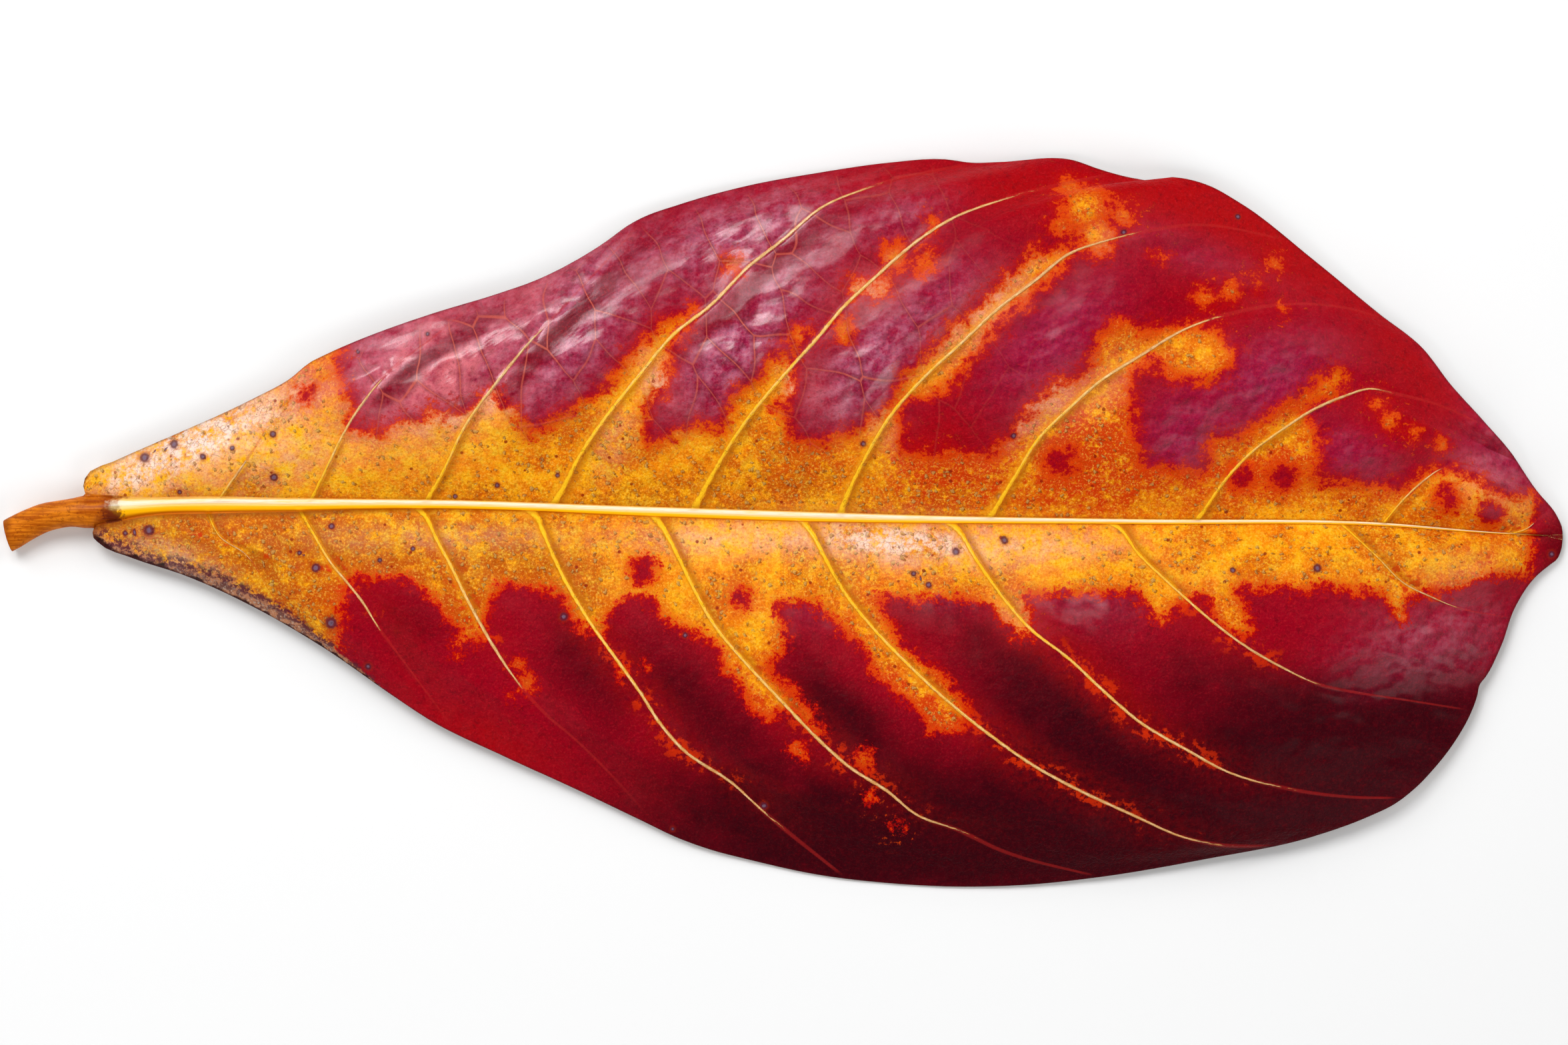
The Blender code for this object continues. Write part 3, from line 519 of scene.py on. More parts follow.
        # Each panel swells between its veins, steeper on the side towards the tip's vein.
        hump = np.sin(np.pi * between ** 0.9) ** 1.4 * ramp(share, 0.02, 0.25)
        hump = hump * (1.0 - ramp(share, 0.62, 1.0)) * np.minimum(gap, 1.0)
        level = level + np.where(veined[:, None], sizes.bulge * hump, 0.0)
        on_blade = ramp(x, self.feet[0], self.feet[2])[:, None]
        on_stalk = (x < self.feet[0])[:, None]
        soft = ramp(share * reach, 1.0, 7.0) * (1 - ramp(share, 0.9, 1.0) * 0.6) * on_blade
        along = share * reach
        flat = np.stack([plan[..., 0], plan[..., 1], 3.4 * line[:, None] + 0 * share, along / 8.0],
                        axis=-1).reshape(-1, 4)
        rough = np.array([
            noise.noise(Vector((px / 9, py / 9, 0.3))) * 0.4
            + noise.noise(Vector((across, ahead, 2.3))) * 0.5
            + noise.noise(Vector((px / 3.0, py / 3.0, 4.3))) * 0.55
            + noise.noise(Vector((px / 1.6, py / 1.6, 8.3))) * 0.40
            for px, py, across, ahead in flat
        ]).reshape(share.shape)
        puckered = 0.5 + 1.2 * tint(plan.reshape(-1, 2), MAUVE_AND_SHEEN).reshape(share.shape)
        waves = rough * soft * sizes.wrinkle * puckered
        level = np.where(on_stalk, root, root + (level - root) * on_blade) + waves
        edge = np.clip((1.0 - share) * reach / (sizes.blade / 2), 0.0, 1.0)
        sheet = sizes.blade / 2 * np.sqrt(edge * (2 - edge))
        sheet = sheet * ramp(x, self.feet[0] - 1.2, self.feet[0] + 0.6)[:, None]
        ratio, lee, age = self.vein_gap(x, share, plan)
        cord = np.exp(-1.5 * ratio ** 2) * ramp(off, 0.4, 1.1) * np.interp(
            age, (0, 0.3, 0.9, 1.1, 1.6), (1.0, 0.85, 0.6, 0.2, 0.08))
        stalk = ramp(-x, 97.5, 99.5)[:, None]
        angle = np.arcsin(np.clip(off, 0, 1))
        fluting = 0.05 * np.cos(13 * angle + 0.25 * x[:, None]) * stalk * oval
        over = np.hypot(sheet, size_at(RIB_RISE, x)[:, None] * oval) + sizes.vein * cord + fluting
        under = np.hypot(sheet, depth * oval) + 1.2 * sizes.vein * cord + fluting
        under = np.where(stalk > 0.5, under, np.maximum(under, 0.0))
        facts = {
            "vein": ratio,
            "age": np.minimum(age, 2.0),
            "lee": np.clip(lee, -9.0, 9.0),
            "gap": np.minimum(np.abs(lee), 9.0),
            "rib": self.side * np.minimum(off, 12.0),
            "edge": (1.0 - share) * reach * np.ones_like(share),
            "line": np.broadcast_to(line[:, None] + NUMBER_FROM[self.side], share.shape),
            "along": along,
        }
        return plan, level + over, np.maximum(level - under, 0.0), facts


def row_places(halves):
    """Where the rows cross the midrib: on each vein, close beside it, and evenly in between."""
    veins = np.sort(np.concatenate([half.feet[half.veins] for half in halves]))
    wanted = list(np.linspace(STALK_END, RIB_END, EVEN_ROWS))
    for foot in veins:
        wanted.extend(foot + np.array((-1.5, -0.95, -0.6, -0.3, 0.0, 0.3, 0.6, 0.95, 1.5)))
    places = [STALK_END]
    for x in sorted(wanted):
        close = x - places[-1] < 0.17
        if close and np.abs(veins - x).min() < 1e-6 and len(places) > 1:
            places.pop()
            close = False
        if not close and x <= RIB_END:
            places.append(x)
    places[-1] = RIB_END
    return np.array(places)


def clear_selection():
    if bpy.context.object and bpy.context.object.mode != "OBJECT":
        bpy.ops.object.mode_set(mode="OBJECT")
    bpy.ops.object.select_all(action="DESELECT")


def skin_grid(name, points, facts, under, middle, scale):
    """One skin: a grid whose corners are moved to the points, with its facts and its map."""
    rows, columns = points.shape[:2]
    clear_selection()
    bpy.ops.mesh.primitive_grid_add(x_subdivisions=rows - 1, y_subdivisions=columns - 1, size=2)
    skin = bpy.context.object
    skin.name = name
    mesh = skin.data
    at = np.zeros(len(mesh.vertices) * 3)
    mesh.vertices.foreach_get("co", at)
    at = at.reshape(-1, 3)
    row = np.rint((at[:, 0] + 1) / 2 * (rows - 1)).astype(int)
    column = np.rint((at[:, 1] + 1) / 2 * (columns - 1)).astype(int)
    placed = (points[row, column] - middle) * scale
    mesh.vertices.foreach_set("co", (placed * MM).ravel())
    flat = points[row, column][:, :2]
    facts = {key: value[row, column] for key, value in facts.items()}
    facts["gold"] = np.clip(gold_depth(flat), -12.0, 12.0)
    for key, dabs in (("scarlet", SCARLET), ("mauve_and_sheen", MAUVE_AND_SHEEN), ("maroon_and_shade", MAROON_AND_SHADE),
                      ("bleached_and_sheen", BLEACHED_AND_SHEEN), ("amber_and_shade", AMBER_AND_SHADE), ("rust", RUST), ("pink", PINK)):
        facts[key] = tint(flat, dabs)
    band = np.where(flat[:, 1] < 0.6, size_at(SCORCHED, flat[:, 0]), -6.0)
    facts["scorched"] = band - facts["edge"]
    away = np.array([(flat - (x, y)) / r for x, y, r in DOTS])
    nearest = np.argmin(np.linalg.norm(away, axis=2), axis=0)
    away = np.clip(away[nearest, np.arange(len(flat))], -9.0, 9.0)
    facts["dot_x"], facts["dot_y"] = away[:, 0], away[:, 1]
    facts["dot"] = np.hypot(away[:, 0], away[:, 1])
    facts["under"] = np.full(len(flat), float(under))
    facts["under"][(column == 0) | (column == columns - 1)] = 0.0
    for key, value in facts.items():
        layer = mesh.attributes.new(key, "FLOAT", "POINT")
        layer.data.foreach_set("value", value.astype(np.float32))
    if under:
        mesh.flip_normals()
    # The two skins lie one above the other on the map, which they fill to its sides.
    corners = np.zeros(len(mesh.loops), int)
    mesh.loops.foreach_get("vertex_index", corners)
    low = placed[:, :2].min(axis=0)
    size = placed[:, :2].max(axis=0) - low
    flatmap = (placed[:, :2] - low) / size * np.array((0.98, 0.47)) + np.array((0.01, 0.015))
    flatmap[:, 1] += 0.0 if under else 0.5
    while mesh.uv_layers:
        mesh.uv_layers.remove(mesh.uv_layers[0])
    mesh.uv_layers.new(name="OFBake").data.foreach_set("uv", flatmap[corners].ravel())
    return skin


def leaf_skins(sizes):
    """The upper and the under skin of the whole leaf."""
    halves = (Half(1, LEFT_MARGIN, LEFT_LINES, LEFT_CORDS, sizes),
              Half(-1, RIGHT_MARGIN, RIGHT_LINES, RIGHT_CORDS, sizes))
    x = row_places(halves)
    # For the upper and the under skin: the turns round the midrib in degrees, the shares of the
    # way across the blade, and the turns round the rim.
    turns = {
        False: ((0, 14, 28, 42, 56, 68, 78), np.linspace(0, 1, 84)[1:], (38, 64, 90)),
        True: ((0, 25, 50, 75), np.linspace(0, 1, 24)[1:], (50, 90)),
    }
    layers = {}
    for under, (rib, shares, curl) in turns.items():
        made = []
        for half in halves:
            share = half.columns(x, rib, shares, curl)
            plan, over, below, facts = half.skins(x, share)
            height = below if under else over
            height[:, -1] = (over[:, -1] + below[:, -1]) / 2
            made.append((np.concatenate([plan, height[..., None]], -1), facts))
        (left, left_facts), (right, right_facts) = made
        right[:, 0] = left[:, 0]
        right[-1] = left[-1]
        points = np.concatenate([right[:, :0:-1], left], axis=1)
        facts = {key: np.concatenate([right_facts[key][:, :0:-1], left_facts[key]], axis=1)
                 for key in left_facts}
        layers[under] = (points, facts)
    both = np.concatenate([layers[key][0].reshape(-1, 3) for key in (False, True)])
    middle = (both.min(axis=0) + both.max(axis=0)) / 2
    middle[2] = both[:, 2].min()
    scale = LENGTH / (both[:, 0].max() - both[:, 0].min())
    names = {False: "leaf_upper", True: "leaf_under"}
    return [skin_grid(names[under], *layers[under], under, middle, scale) for under in names]


def srgb(red, green, blue):
    """A colour given in steps of 255 for a screen, as the shader wants it."""
    channels = []
    for value in (red, green, blue):
        value = value / 255
        channels.append(value / 12.92 if value <= 0.04045 else ((value + 0.055) / 1.055) ** 2.4)
    return (*channels, 1.0)


class Signal:
    """One output of a finish, which can be added, multiplied and so on like a number."""

    def __init__(self, finish, socket):
        self.finish = finish
        self.socket = socket

    def maths(self, operation, first, second):
        return self.finish.add("ShaderNodeMath", {"operation": operation}, {0: first, 1: second})

    def __add__(self, other):
        return self.maths("ADD", self, other)

    def __radd__(self, other):
        return self.maths("ADD", other, self)

    def __sub__(self, other):
        return self.maths("SUBTRACT", self, other)

    def __rsub__(self, other):
        return self.maths("SUBTRACT", other, self)

    def __mul__(self, other):
        return self.maths("MULTIPLY", self, other)

    def __rmul__(self, other):
        return self.maths("MULTIPLY", other, self)

    def __truediv__(self, other):
        return self.maths("DIVIDE", self, other)

    def absolute(self):
        return self.maths("ABSOLUTE", self, 0.0)

    def at_least(self, other):
        return self.maths("MAXIMUM", self, other)

    def at_most(self, other):
        return self.maths("MINIMUM", self, other)

    def fade(self, low, high):
        """0 where the signal is at low, 1 where it is at high, and smooth in between."""
        settings = {"interpolation_type": "SMOOTHSTEP"}
        flip = low > high
        ends = {"From Min": min(low, high), "From Max": max(low, high)}
        ends.update({"To Min": 1.0 if flip else 0.0, "To Max": 0.0 if flip else 1.0})
        return self.finish.add("ShaderNodeMapRange", settings, {"Value": self, **ends})


class Finish:
    """A material in the making."""

    def __init__(self, name):
        self.material = bpy.data.materials.new(name)
        self.material.use_nodes = True
        self.tree = self.material.node_tree
        self.shader = self.tree.nodes["Principled BSDF"]
        place = self.add("ShaderNodeTexCoord", {}, {}, "Object")
        self.place = self.add("ShaderNodeVectorMath", {"operation": "SCALE"},
                              {0: place, "Scale": 1000.0}, "Vector")

    def add(self, kind, settings, sockets, out=0):
        node = self.tree.nodes.new(kind)
        for key, value in settings.items():
            setattr(node, key, value)
        for key, value in sockets.items():
            if isinstance(value, Signal):
                self.tree.links.new(value.socket, node.inputs[key])
            else:
                node.inputs[key].default_value = value
        return Signal(self, node.outputs[out])

    def fact(self, name):
        return self.add("ShaderNodeAttribute", {"attribute_name": name}, {}, "Fac")

    def mottle(self, size, detail=3.0, roughness=0.55, place=None, out=0, warp=0.0):
        """Noise whose patches are about this many millimetres across."""
        sockets = {"Vector": place or self.place, "Scale": 1.0 / size, "Detail": detail,
                   "Roughness": roughness, "Distortion": warp}
        return self.add("ShaderNodeTexNoise", {}, sockets, out)

    def cells(self, size, place=None):
        """The distance from the middles of scattered cells of this size, and a value for each."""
        near = self.add("ShaderNodeTexVoronoi", {"feature": "F1"},
                        {"Vector": place or self.place, "Scale": 1.0 / size}, "Distance")
        return near, Signal(self, near.socket.node.outputs["Color"])

    def borders(self, size, place=None, across="3D"):
        """The distance from the borders between scattered cells of this size."""
        settings = {"feature": "DISTANCE_TO_EDGE", "voronoi_dimensions": across}
        return self.add("ShaderNodeTexVoronoi", settings,
                        {"Vector": place or self.place, "Scale": 1.0 / size}, "Distance")

    def moved(self, place, by):
        return self.add("ShaderNodeVectorMath", {"operation": "ADD"}, {0: place, 1: by}, "Vector")

    def blend(self, mask, first, second):
        settings = {"data_type": "RGBA", "blend_type": "MIX", "clamp_factor": True}
        return self.add("ShaderNodeMix", settings, {0: mask, 6: first, 7: second}, 2)

    def together(self, x, y, z=0.0):
        return self.add("ShaderNodeCombineXYZ", {}, {"X": x, "Y": y, "Z": z}, "Vector")

    def into(self, socket, value):
        if isinstance(value, Signal):
            self.tree.links.new(value.socket, self.shader.inputs[socket])
        else:
            self.shader.inputs[socket].default_value = value


def leaf_finish(colours):
    """The leaf's skin: gold by the veins, crimson between them, dry cords, specks and scars."""
    finish = Finish("leaf_skin")
    fact = finish.fact
    gold_here, vein, age, rib = fact("gold"), fact("vein"), fact("age"), fact("rib")
    edge, under = fact("edge"), fact("under")
    scarlet, mauve_and_sheen, maroon_and_shade = fact("scarlet"), fact("mauve_and_sheen"), fact("maroon_and_shade")
    bleached_and_sheen, scorched, amber_and_shade = fact("bleached_and_sheen"), fact("scorched"), fact("amber_and_shade")
    rust, pink = fact("rust"), fact("pink")
    # Only close to a side vein does the sign of the distance from it mean anything.
    gap = fact("gap")
    lee = fact("lee") * gap.fade(4.6, 3.6)
    x, y = (finish.add("ShaderNodeSeparateXYZ", {}, {0: finish.place}, name) for name in "XY")
    from_rib = rib.absolute()
    broad = finish.mottle(7.0, 3.0)
    patchy = finish.mottle(2.4, 4.0, 0.62)
    speckle = finish.mottle(0.85, 4.0, 0.68)
    grain = finish.mottle(0.34, 3.0, 0.7)
    left = y.fade(-2.0, 4.0)
    depth = gold_here - 0.8 + left * 0.45 + (broad - 0.5) * 1.4
    depth = depth + (patchy - 0.5) * (4.6 + left * 1.4)
    ragged = (depth + (speckle - 0.5) * 4.2 + (grain - 0.5) * 3.0) / (0.8 + left * 0.5)

    # The reds, from the pure scarlet of the outer blade to the near black of the right margin,
    # which is partly painted shade.
    red = finish.blend(scarlet + (patchy - 0.5) * 0.6, (*colours.crimson, 1),
                       (*colours.scarlet, 1))
    # Painted shade in the dip on the tip side of each side vein across the swollen panels.
    valley_shade = age.fade(2.0, 1.2) * lee.fade(0.0, 1.5) * gap.fade(0.2, 1.2)
    valley_shade = valley_shade * gap.fade(4.5, 2.6) * mauve_and_sheen * left
    puffed = left * x.fade(34.0, 12.0)
    # The swollen panels turn mauve, partly their own tint and partly painted sheen.
    panel_tint_and_sheen = mauve_and_sheen * (0.85 + (speckle - 0.5) * 0.7 + (patchy - 0.5) * 0.6 - valley_shade * 0.6)
    sheen_tint_colour = finish.blend(left, srgb(136, 2, 52), (*colours.mauve_and_sheen, 1))
    red = finish.blend(panel_tint_and_sheen.at_most(0.9), red, sheen_tint_colour)
    # A painted sheen: pale pink lumps on the swollen panels, strongest on the upper left ones.
    painted_sheen = panel_tint_and_sheen * (0.15 + puffed * 0.85) * (grain * 0.5 + speckle * 0.7 + patchy).fade(0.85, 1.4)
    red = finish.blend(painted_sheen * 0.6, red, srgb(222, 150, 180))
    # Painted light and shade: each pucker is painted paler on the side that faces the key light,
    # up and left, and darker on the other side.
    beside = finish.moved(finish.place, (-0.3, 0.4, 0.0))
    pucker_light_and_shade = (finish.mottle(2.3, 3.0, 0.5) - finish.mottle(2.3, 3.0, 0.5, beside)) * 4
    red = finish.blend(pucker_light_and_shade.at_least(0.0) * mauve_and_sheen * (0.25 + puffed * 0.75), red,
                       srgb(218, 140, 160))
    red = finish.blend((0 - pucker_light_and_shade).at_least(0.0) * (0.15 + mauve_and_sheen * 0.85), red, srgb(92, 0, 22))
    flush = pink * (0.65 + (patchy - 0.5) * 2.4 + (speckle - 0.5) * 1.2 - valley_shade * 0.6)
    red = finish.blend(flush.at_most(0.85), red, srgb(222, 112, 120))
    # The painted shade of the dips beside the veins.
    red = finish.blend(valley_shade * 0.85, red, srgb(100, 0, 22))
    # Darker towards the right margin: maroon, partly painted shade.
    shade = maroon_and_shade * 1.1 + (broad - 0.5) * 0.5 + (patchy - 0.5) * 0.3
    red = finish.blend(shade.fade(0.0, 0.95), red, (*colours.maroon_and_shade, 1))
    warm = gap.fade(5.5, 0.2) * age.fade(1.2, 0.4) * (1 - left * 0.6)
    red = finish.blend(warm * (patchy * 0.8 + (speckle - 0.5) * 2.0), red, srgb(170, 8, 2))
    red = finish.blend(((speckle - 0.5) * 2.4).at_least(0.0), red, srgb(88, 0, 12))
    red = finish.blend(((grain - 0.5) * 1.6).at_least(0.0) * (1 - shade.fade(0.0, 0.9) * 0.8), red,
                       srgb(214, 30, 40))

    # The golds.
    gold = finish.blend(patchy.fade(0.38, 0.62), (*colours.gold, 1), (*colours.orange, 1))
    gold = finish.blend((speckle + (broad - 0.5) * 1.2).fade(0.46, 0.64) * 0.8, gold,
                        srgb(204, 88, 2))
    low = (1 - left) * x.fade(-20.0, -40.0)
    gold = finish.blend(low * (0.7 + (patchy - 0.5) * 3.0 + (speckle - 0.5) * 2.0), gold,
                        srgb(186, 88, 2))
    gold = finish.blend((speckle - patchy * 0.5).fade(0.26, 0.42) * 0.6, gold, srgb(255, 204, 40))
    # Amber, partly painted shade above the midrib.
    gold = finish.blend(amber_and_shade * (0.45 + (grain - 0.5) * 1.2 + (speckle - 0.5) * 2.4), gold,
                        srgb(166, 72, 0))
    rusty = rust * 1.15 + depth.fade(3.8, 0.4) * 0.5 + fact("along").fade(9.0, 30.0) * 0.4
    rusty = rusty * (0.6 + (speckle - 0.5) * 2.4 + (patchy - 0.5) * 1.8)
    gold = finish.blend(rusty.at_most(0.95), gold, srgb(206, 48, 2))
    # Pale peach, partly bleached skin and partly painted sheen below the midrib.
    pale = bleached_and_sheen * (0.5 + (patchy - 0.5) * 3.0 + (speckle - 0.5) * 1.8)
    gold = finish.blend(pale.at_most(0.92), gold, srgb(250, 202, 160))
    chalk = bleached_and_sheen.fade(0.6, 1.2) * (patchy * 0.8 + speckle).fade(0.78, 1.0)
    gold = finish.blend(chalk * 0.8, gold, srgb(246, 222, 214))
    burnt = bleached_and_sheen.fade(0.5, 1.0) * (broad * 0.7 + patchy).fade(0.78, 0.68)
    burnt = burnt * speckle.fade(0.4, 0.6)
    gold = finish.blend(burnt * 0.8, gold, srgb(206, 104, 20))
    flush = pink * (0.6 + (patchy - 0.5) * 1.0 + (speckle - 0.5) * 1.2)
    gold = finish.blend(flush.at_most(0.85), gold, srgb(240, 150, 120))
    gold = finish.blend((grain - 0.52) * 3.0, gold, srgb(184, 78, 2))
    gold = finish.blend((0.48 - grain) * 2.6, gold, srgb(255, 216, 84))

    # The turn from red to gold runs through scarlet and orange.
    turned = finish.blend(ragged.fade(-1.5, -0.3) * (1 - left * 0.35), red, (*colours.flame, 1))
    turned = finish.blend(ragged.fade(-0.5, 0.3), turned, srgb(216, 62, 2))
    turned = finish.blend(ragged.fade(0.0, 1.1), turned, gold)
    fleck = speckle.fade(0.60, 0.68) * depth.fade(-4.5, -1.0) * scarlet.fade(0.1, 0.5)
    skin = finish.blend(fleck * 0.8, turned, srgb(226, 74, 2))
    by_vein = gap.fade(3.4, 0.6) * age.fade(1.1, 0.7) * age.fade(0.2, 0.5) * (1 - left)
    spark = (speckle + patchy * 1.4 + by_vein * 0.34).fade(1.50, 1.66) * by_vein
    skin = finish.blend(spark * 0.85, skin, srgb(206, 44, 2))

    # Pale pits with a painted shadow along one side, and red-brown specks, all in the gold.
    in_gold = ragged.fade(0.6, 1.6)
    warped = finish.moved(finish.place, finish.mottle(0.7, 2.0, 0.5, out=1))
    pit_near, pit_kind = finish.cells(0.9, warped)
    shadow_near, shadow_kind = finish.cells(0.9, finish.moved(warped, (-0.13, 0.17, 0.0)))
    frequent = (broad - 0.5) * 1.6 - 0.54
    pit = pit_near.fade(0.34, 0.22) * (pit_kind + frequent).fade(0.0, 0.06) * in_gold
    pit_shadow = shadow_near.fade(0.36, 0.22) * (shadow_kind + frequent).fade(0.0, 0.06) * in_gold
    skin = finish.blend(pit_shadow * 0.7, skin, srgb(128, 56, 4))
    skin = finish.blend(pit * 0.55, skin, srgb(210, 166, 92))
    speck_near, speck_kind = finish.cells(2.0)
    speck = speck_near.fade(0.16, 0.09) * speck_kind.fade(0.54, 0.58)
    skin = finish.blend(speck * in_gold * 0.85, skin, srgb(140, 24, 4))
    borders = finish.borders(1.2, warped)
    crackle = borders.fade(0.06, 0.015) * bleached_and_sheen.fade(0.45, 0.8) * patchy.fade(0.4, 0.6)
    skin = finish.blend(crackle * 0.7, skin, srgb(172, 116, 76))

    # The net of fine veins between the side veins.
    wander = finish.mottle(9.0, 0.0, 0.5)
    twist = finish.mottle(5.0, 0.0, 0.5)
    out = (y - 1.0).absolute()
    net_place = finish.together((x * 0.42 - out * 0.91) / 12 + (wander - 0.5) * 0.30,
                                (x * 0.91 + out * 0.42) / 6.5 + (twist - 0.5) * 0.24)
    net = finish.borders(1.0, net_place, "2D")
    blade = edge.fade(1.0, 7.0) * from_rib.fade(3.0, 9.0) * x.fade(44.0, 6.0) * left
    threads = net.fade(0.020, 0.006) * blade
    furrow = net.fade(0.09, 0.014) * blade
    fine_net = borders.fade(0.12, 0.02)
    seen = (0.14 + 0.75 * mauve_and_sheen) * (1 - maroon_and_shade * 0.8) * (1 - in_gold * 0.85)
    skin = finish.blend(furrow * seen * 0.6, skin, srgb(110, 4, 18))
    skin = finish.blend(threads * seen * 0.8, skin, srgb(214, 96, 76))

    # The dried band of the right margin near the foot, and the dark rim.
    band = scorched + (patchy - 0.5) * 4.0 + (speckle - 0.5) * 2.4
    skin = finish.blend(band.fade(-0.7, 0.6), skin, srgb(178, 118, 84))
    dried_out = band.fade(0.2, 1.2)
    skin = finish.blend(dried_out * speckle.fade(0.44, 0.56) * 0.85, skin, srgb(98, 60, 58))
    skin = finish.blend(dried_out * grain.fade(0.5, 0.66) * 0.6, skin, srgb(200, 180, 160))
    charred = band.fade(-2.4, -0.2) * band.fade(2.2, 0.4)
    charred = charred * (speckle + grain * 0.5).fade(0.66, 0.80)
    skin = finish.blend(charred * 0.9, skin, srgb(86, 26, 44))
    rim = scorched.fade(-0.4, 0.3) * (edge + (patchy - 0.5) * 4.0).fade(0.9, 0.2)
    skin = finish.blend(rim * 0.95, skin, srgb(36, 16, 16))
    skin = finish.blend(edge.fade(0.7, 0.0) * 0.5, skin, srgb(70, 4, 10))

    # The round dots of old spots, each with a paler heart.
    dot = finish.add("ShaderNodeVectorMath", {"operation": "LENGTH"},
                     {0: finish.together(fact("dot_x"), fact("dot_y"))}, "Value")
    dot = dot + fact("dot").fade(2.3, 3.0) * 9 + (speckle - 0.5) * 0.9
    skin = finish.blend(dot.fade(2.0, 0.8) * 0.5, skin, srgb(150, 34, 12))
    skin = finish.blend(dot.fade(1.2, 0.75) * 0.85, skin, srgb(84, 26, 46))
    skin = finish.blend(dot.fade(0.6, 0.3) * 0.7, skin, srgb(122, 100, 122))

    # The side veins: yellow cords that dry to a pale tan towards the margin, then sink away.
    along_cord = finish.together(fact("along") * 0.8, fact("line") * 9.0, lee * 4.0)
    fibre = finish.mottle(1.0, 3.0, 0.65, along_cord)
    wide = vein * 1.4 + (fibre - 0.5) * 1.3 + (speckle - 0.5) * 1.0
    cord_colour = finish.blend(age.fade(0.25, 0.8), (*colours.vein, 1), srgb(218, 158, 94))
    # Pale cream streaks along the drier cords, partly painted highlight, and a painted shadow
    # along the side of each cord that faces the tip.
    cord_colour = finish.blend((fibre - 0.42) * 3.2 * age.fade(0.05, 0.6), cord_colour,
                               srgb(255, 232, 178))
    cord_colour = finish.blend(wide.fade(0.35, 1.0) * 0.7, cord_colour, srgb(206, 108, 6))
    cord_colour = finish.blend(lee.fade(0.0, 0.3) * age.fade(0.2, 0.8) * 0.5, cord_colour,
                               srgb(120, 50, 16))
    dried = (age + (fibre - 0.5) * 0.3).fade(1.04, 0.98)
    cord = wide.fade(1.15, 0.85) * dried
    sunk = vein.fade(2.6, 0.9) * age.fade(0.9, 1.05) * age.fade(2.0, 1.4) * edge.fade(0.5, 3.0)
    young = (1 - age.fade(0.6, 1.1)) * in_gold
    skin = finish.blend(sunk * 0.35, skin, srgb(190, 40, 36))
    skin = finish.blend(vein.fade(3.4, 1.0) * young * 0.5, skin, srgb(232, 148, 10))
    lee_shade = lee.fade(0.2, 0.5) * lee.fade(1.8, 0.5) * gap.fade(2.6, 1.8)
    skin = finish.blend(lee_shade * young * 0.5, skin,
                        srgb(150, 66, 2))
    skin = finish.blend(cord, skin, cord_colour)

    # The midrib: cream along its left flank and yellow on the right, darkening to orange at its
    # right edge, partly painted light on the lit flank and painted shade on the other; red-brown
    # where it meets the stalk, and the brown stalk with its darker end.
    strands = finish.mottle(1.0, 3.0, 0.6, finish.together(x * 0.25, y * 3.2, rib))
    ribs = finish.blend(rib.fade(-0.25, 0.1), srgb(255, 178, 6), srgb(255, 222, 140))
    ribs = finish.blend(rib.fade(-0.6, -1.0), ribs, srgb(206, 108, 2))
    ribs = finish.blend(rib.fade(0.05, 0.4) * strands.fade(0.25, 0.55), ribs, srgb(255, 240, 212))
    ribs = finish.blend(rib.fade(0.7, 0.95) * 0.8, ribs, srgb(250, 186, 44))
    ribs = finish.blend((strands - 0.55) * 1.4, ribs, srgb(206, 130, 30))
    stem = finish.blend(strands.fade(0.34, 0.66), srgb(172, 80, 6), srgb(220, 124, 20))
    stem = finish.blend((grain + (speckle - 0.5)).fade(0.54, 0.76) * 0.6, stem, srgb(126, 50, 4))
    stem = finish.blend((patchy + (x + 101.0) * 0.05).fade(0.5, 0.9) * 0.7, stem, srgb(140, 48, 8))
    stem = finish.blend(x.fade(-109.2, -110.6) * 0.6, stem, srgb(120, 50, 10))
    joint = (x + (patchy - 0.5) * 6.0 - from_rib * 1.4).fade(-95.2, -96.6)
    ribs = finish.blend(joint, ribs, stem)
    blot = ((x + 95.2).absolute() + (speckle - 0.5) * 5.0 + (patchy - 0.5) * 4.0).fade(1.6, 0.5)
    ribs = finish.blend(blot * rib.fade(0.9, -0.3) * 0.85, ribs, srgb(92, 24, 14))
    # A painted shadow on the blade just below the midrib, stronger towards the foot.
    skin = finish.blend(rib.fade(-0.9, -1.05) * rib.fade(-2.4, -1.1) * x.fade(-20.0, -70.0) * 0.8,
                        skin, srgb(130, 62, 2))
    skin = finish.blend(from_rib.fade(2.4, 1.0) * 0.3, skin, srgb(176, 92, 4))
    skin = finish.blend((from_rib - x.fade(-55.0, -92.0) * 0.22).fade(1.10, 0.96), skin, ribs)

    # The under skin is paler and duller, with its veins tan.
    dull = finish.blend(0.55, skin, srgb(206, 150, 100))
    dull = finish.blend(vein.fade(1.8, 0.8) * age.fade(1.6, 0.8), dull, srgb(222, 176, 120))
    skin = finish.blend(under, skin, dull)
    finish.into("Base Color", skin)

    gloss = 0.42 + (speckle - 0.5) * 0.2 + pit * 0.2 + cord * 0.2 + charred * 0.25 + under * 0.3
    finish.into("Roughness", gloss)
    finish.into("Specular IOR Level", 0.04)
    shine = (mauve_and_sheen * 1.2).at_most(1.0) * (0.22 + puffed * 0.78) * ragged.fade(1.0, -1.0)
    shine = shine * (1 - valley_shade * 0.85) + bleached_and_sheen * 0.35 * ragged.fade(-1.0, 1.0)
    finish.into("Coat Weight", (shine + 0.015) * (1 - under))
    finish.into("Coat Roughness", 0.24)
    finish.into("Metallic", 0.0)

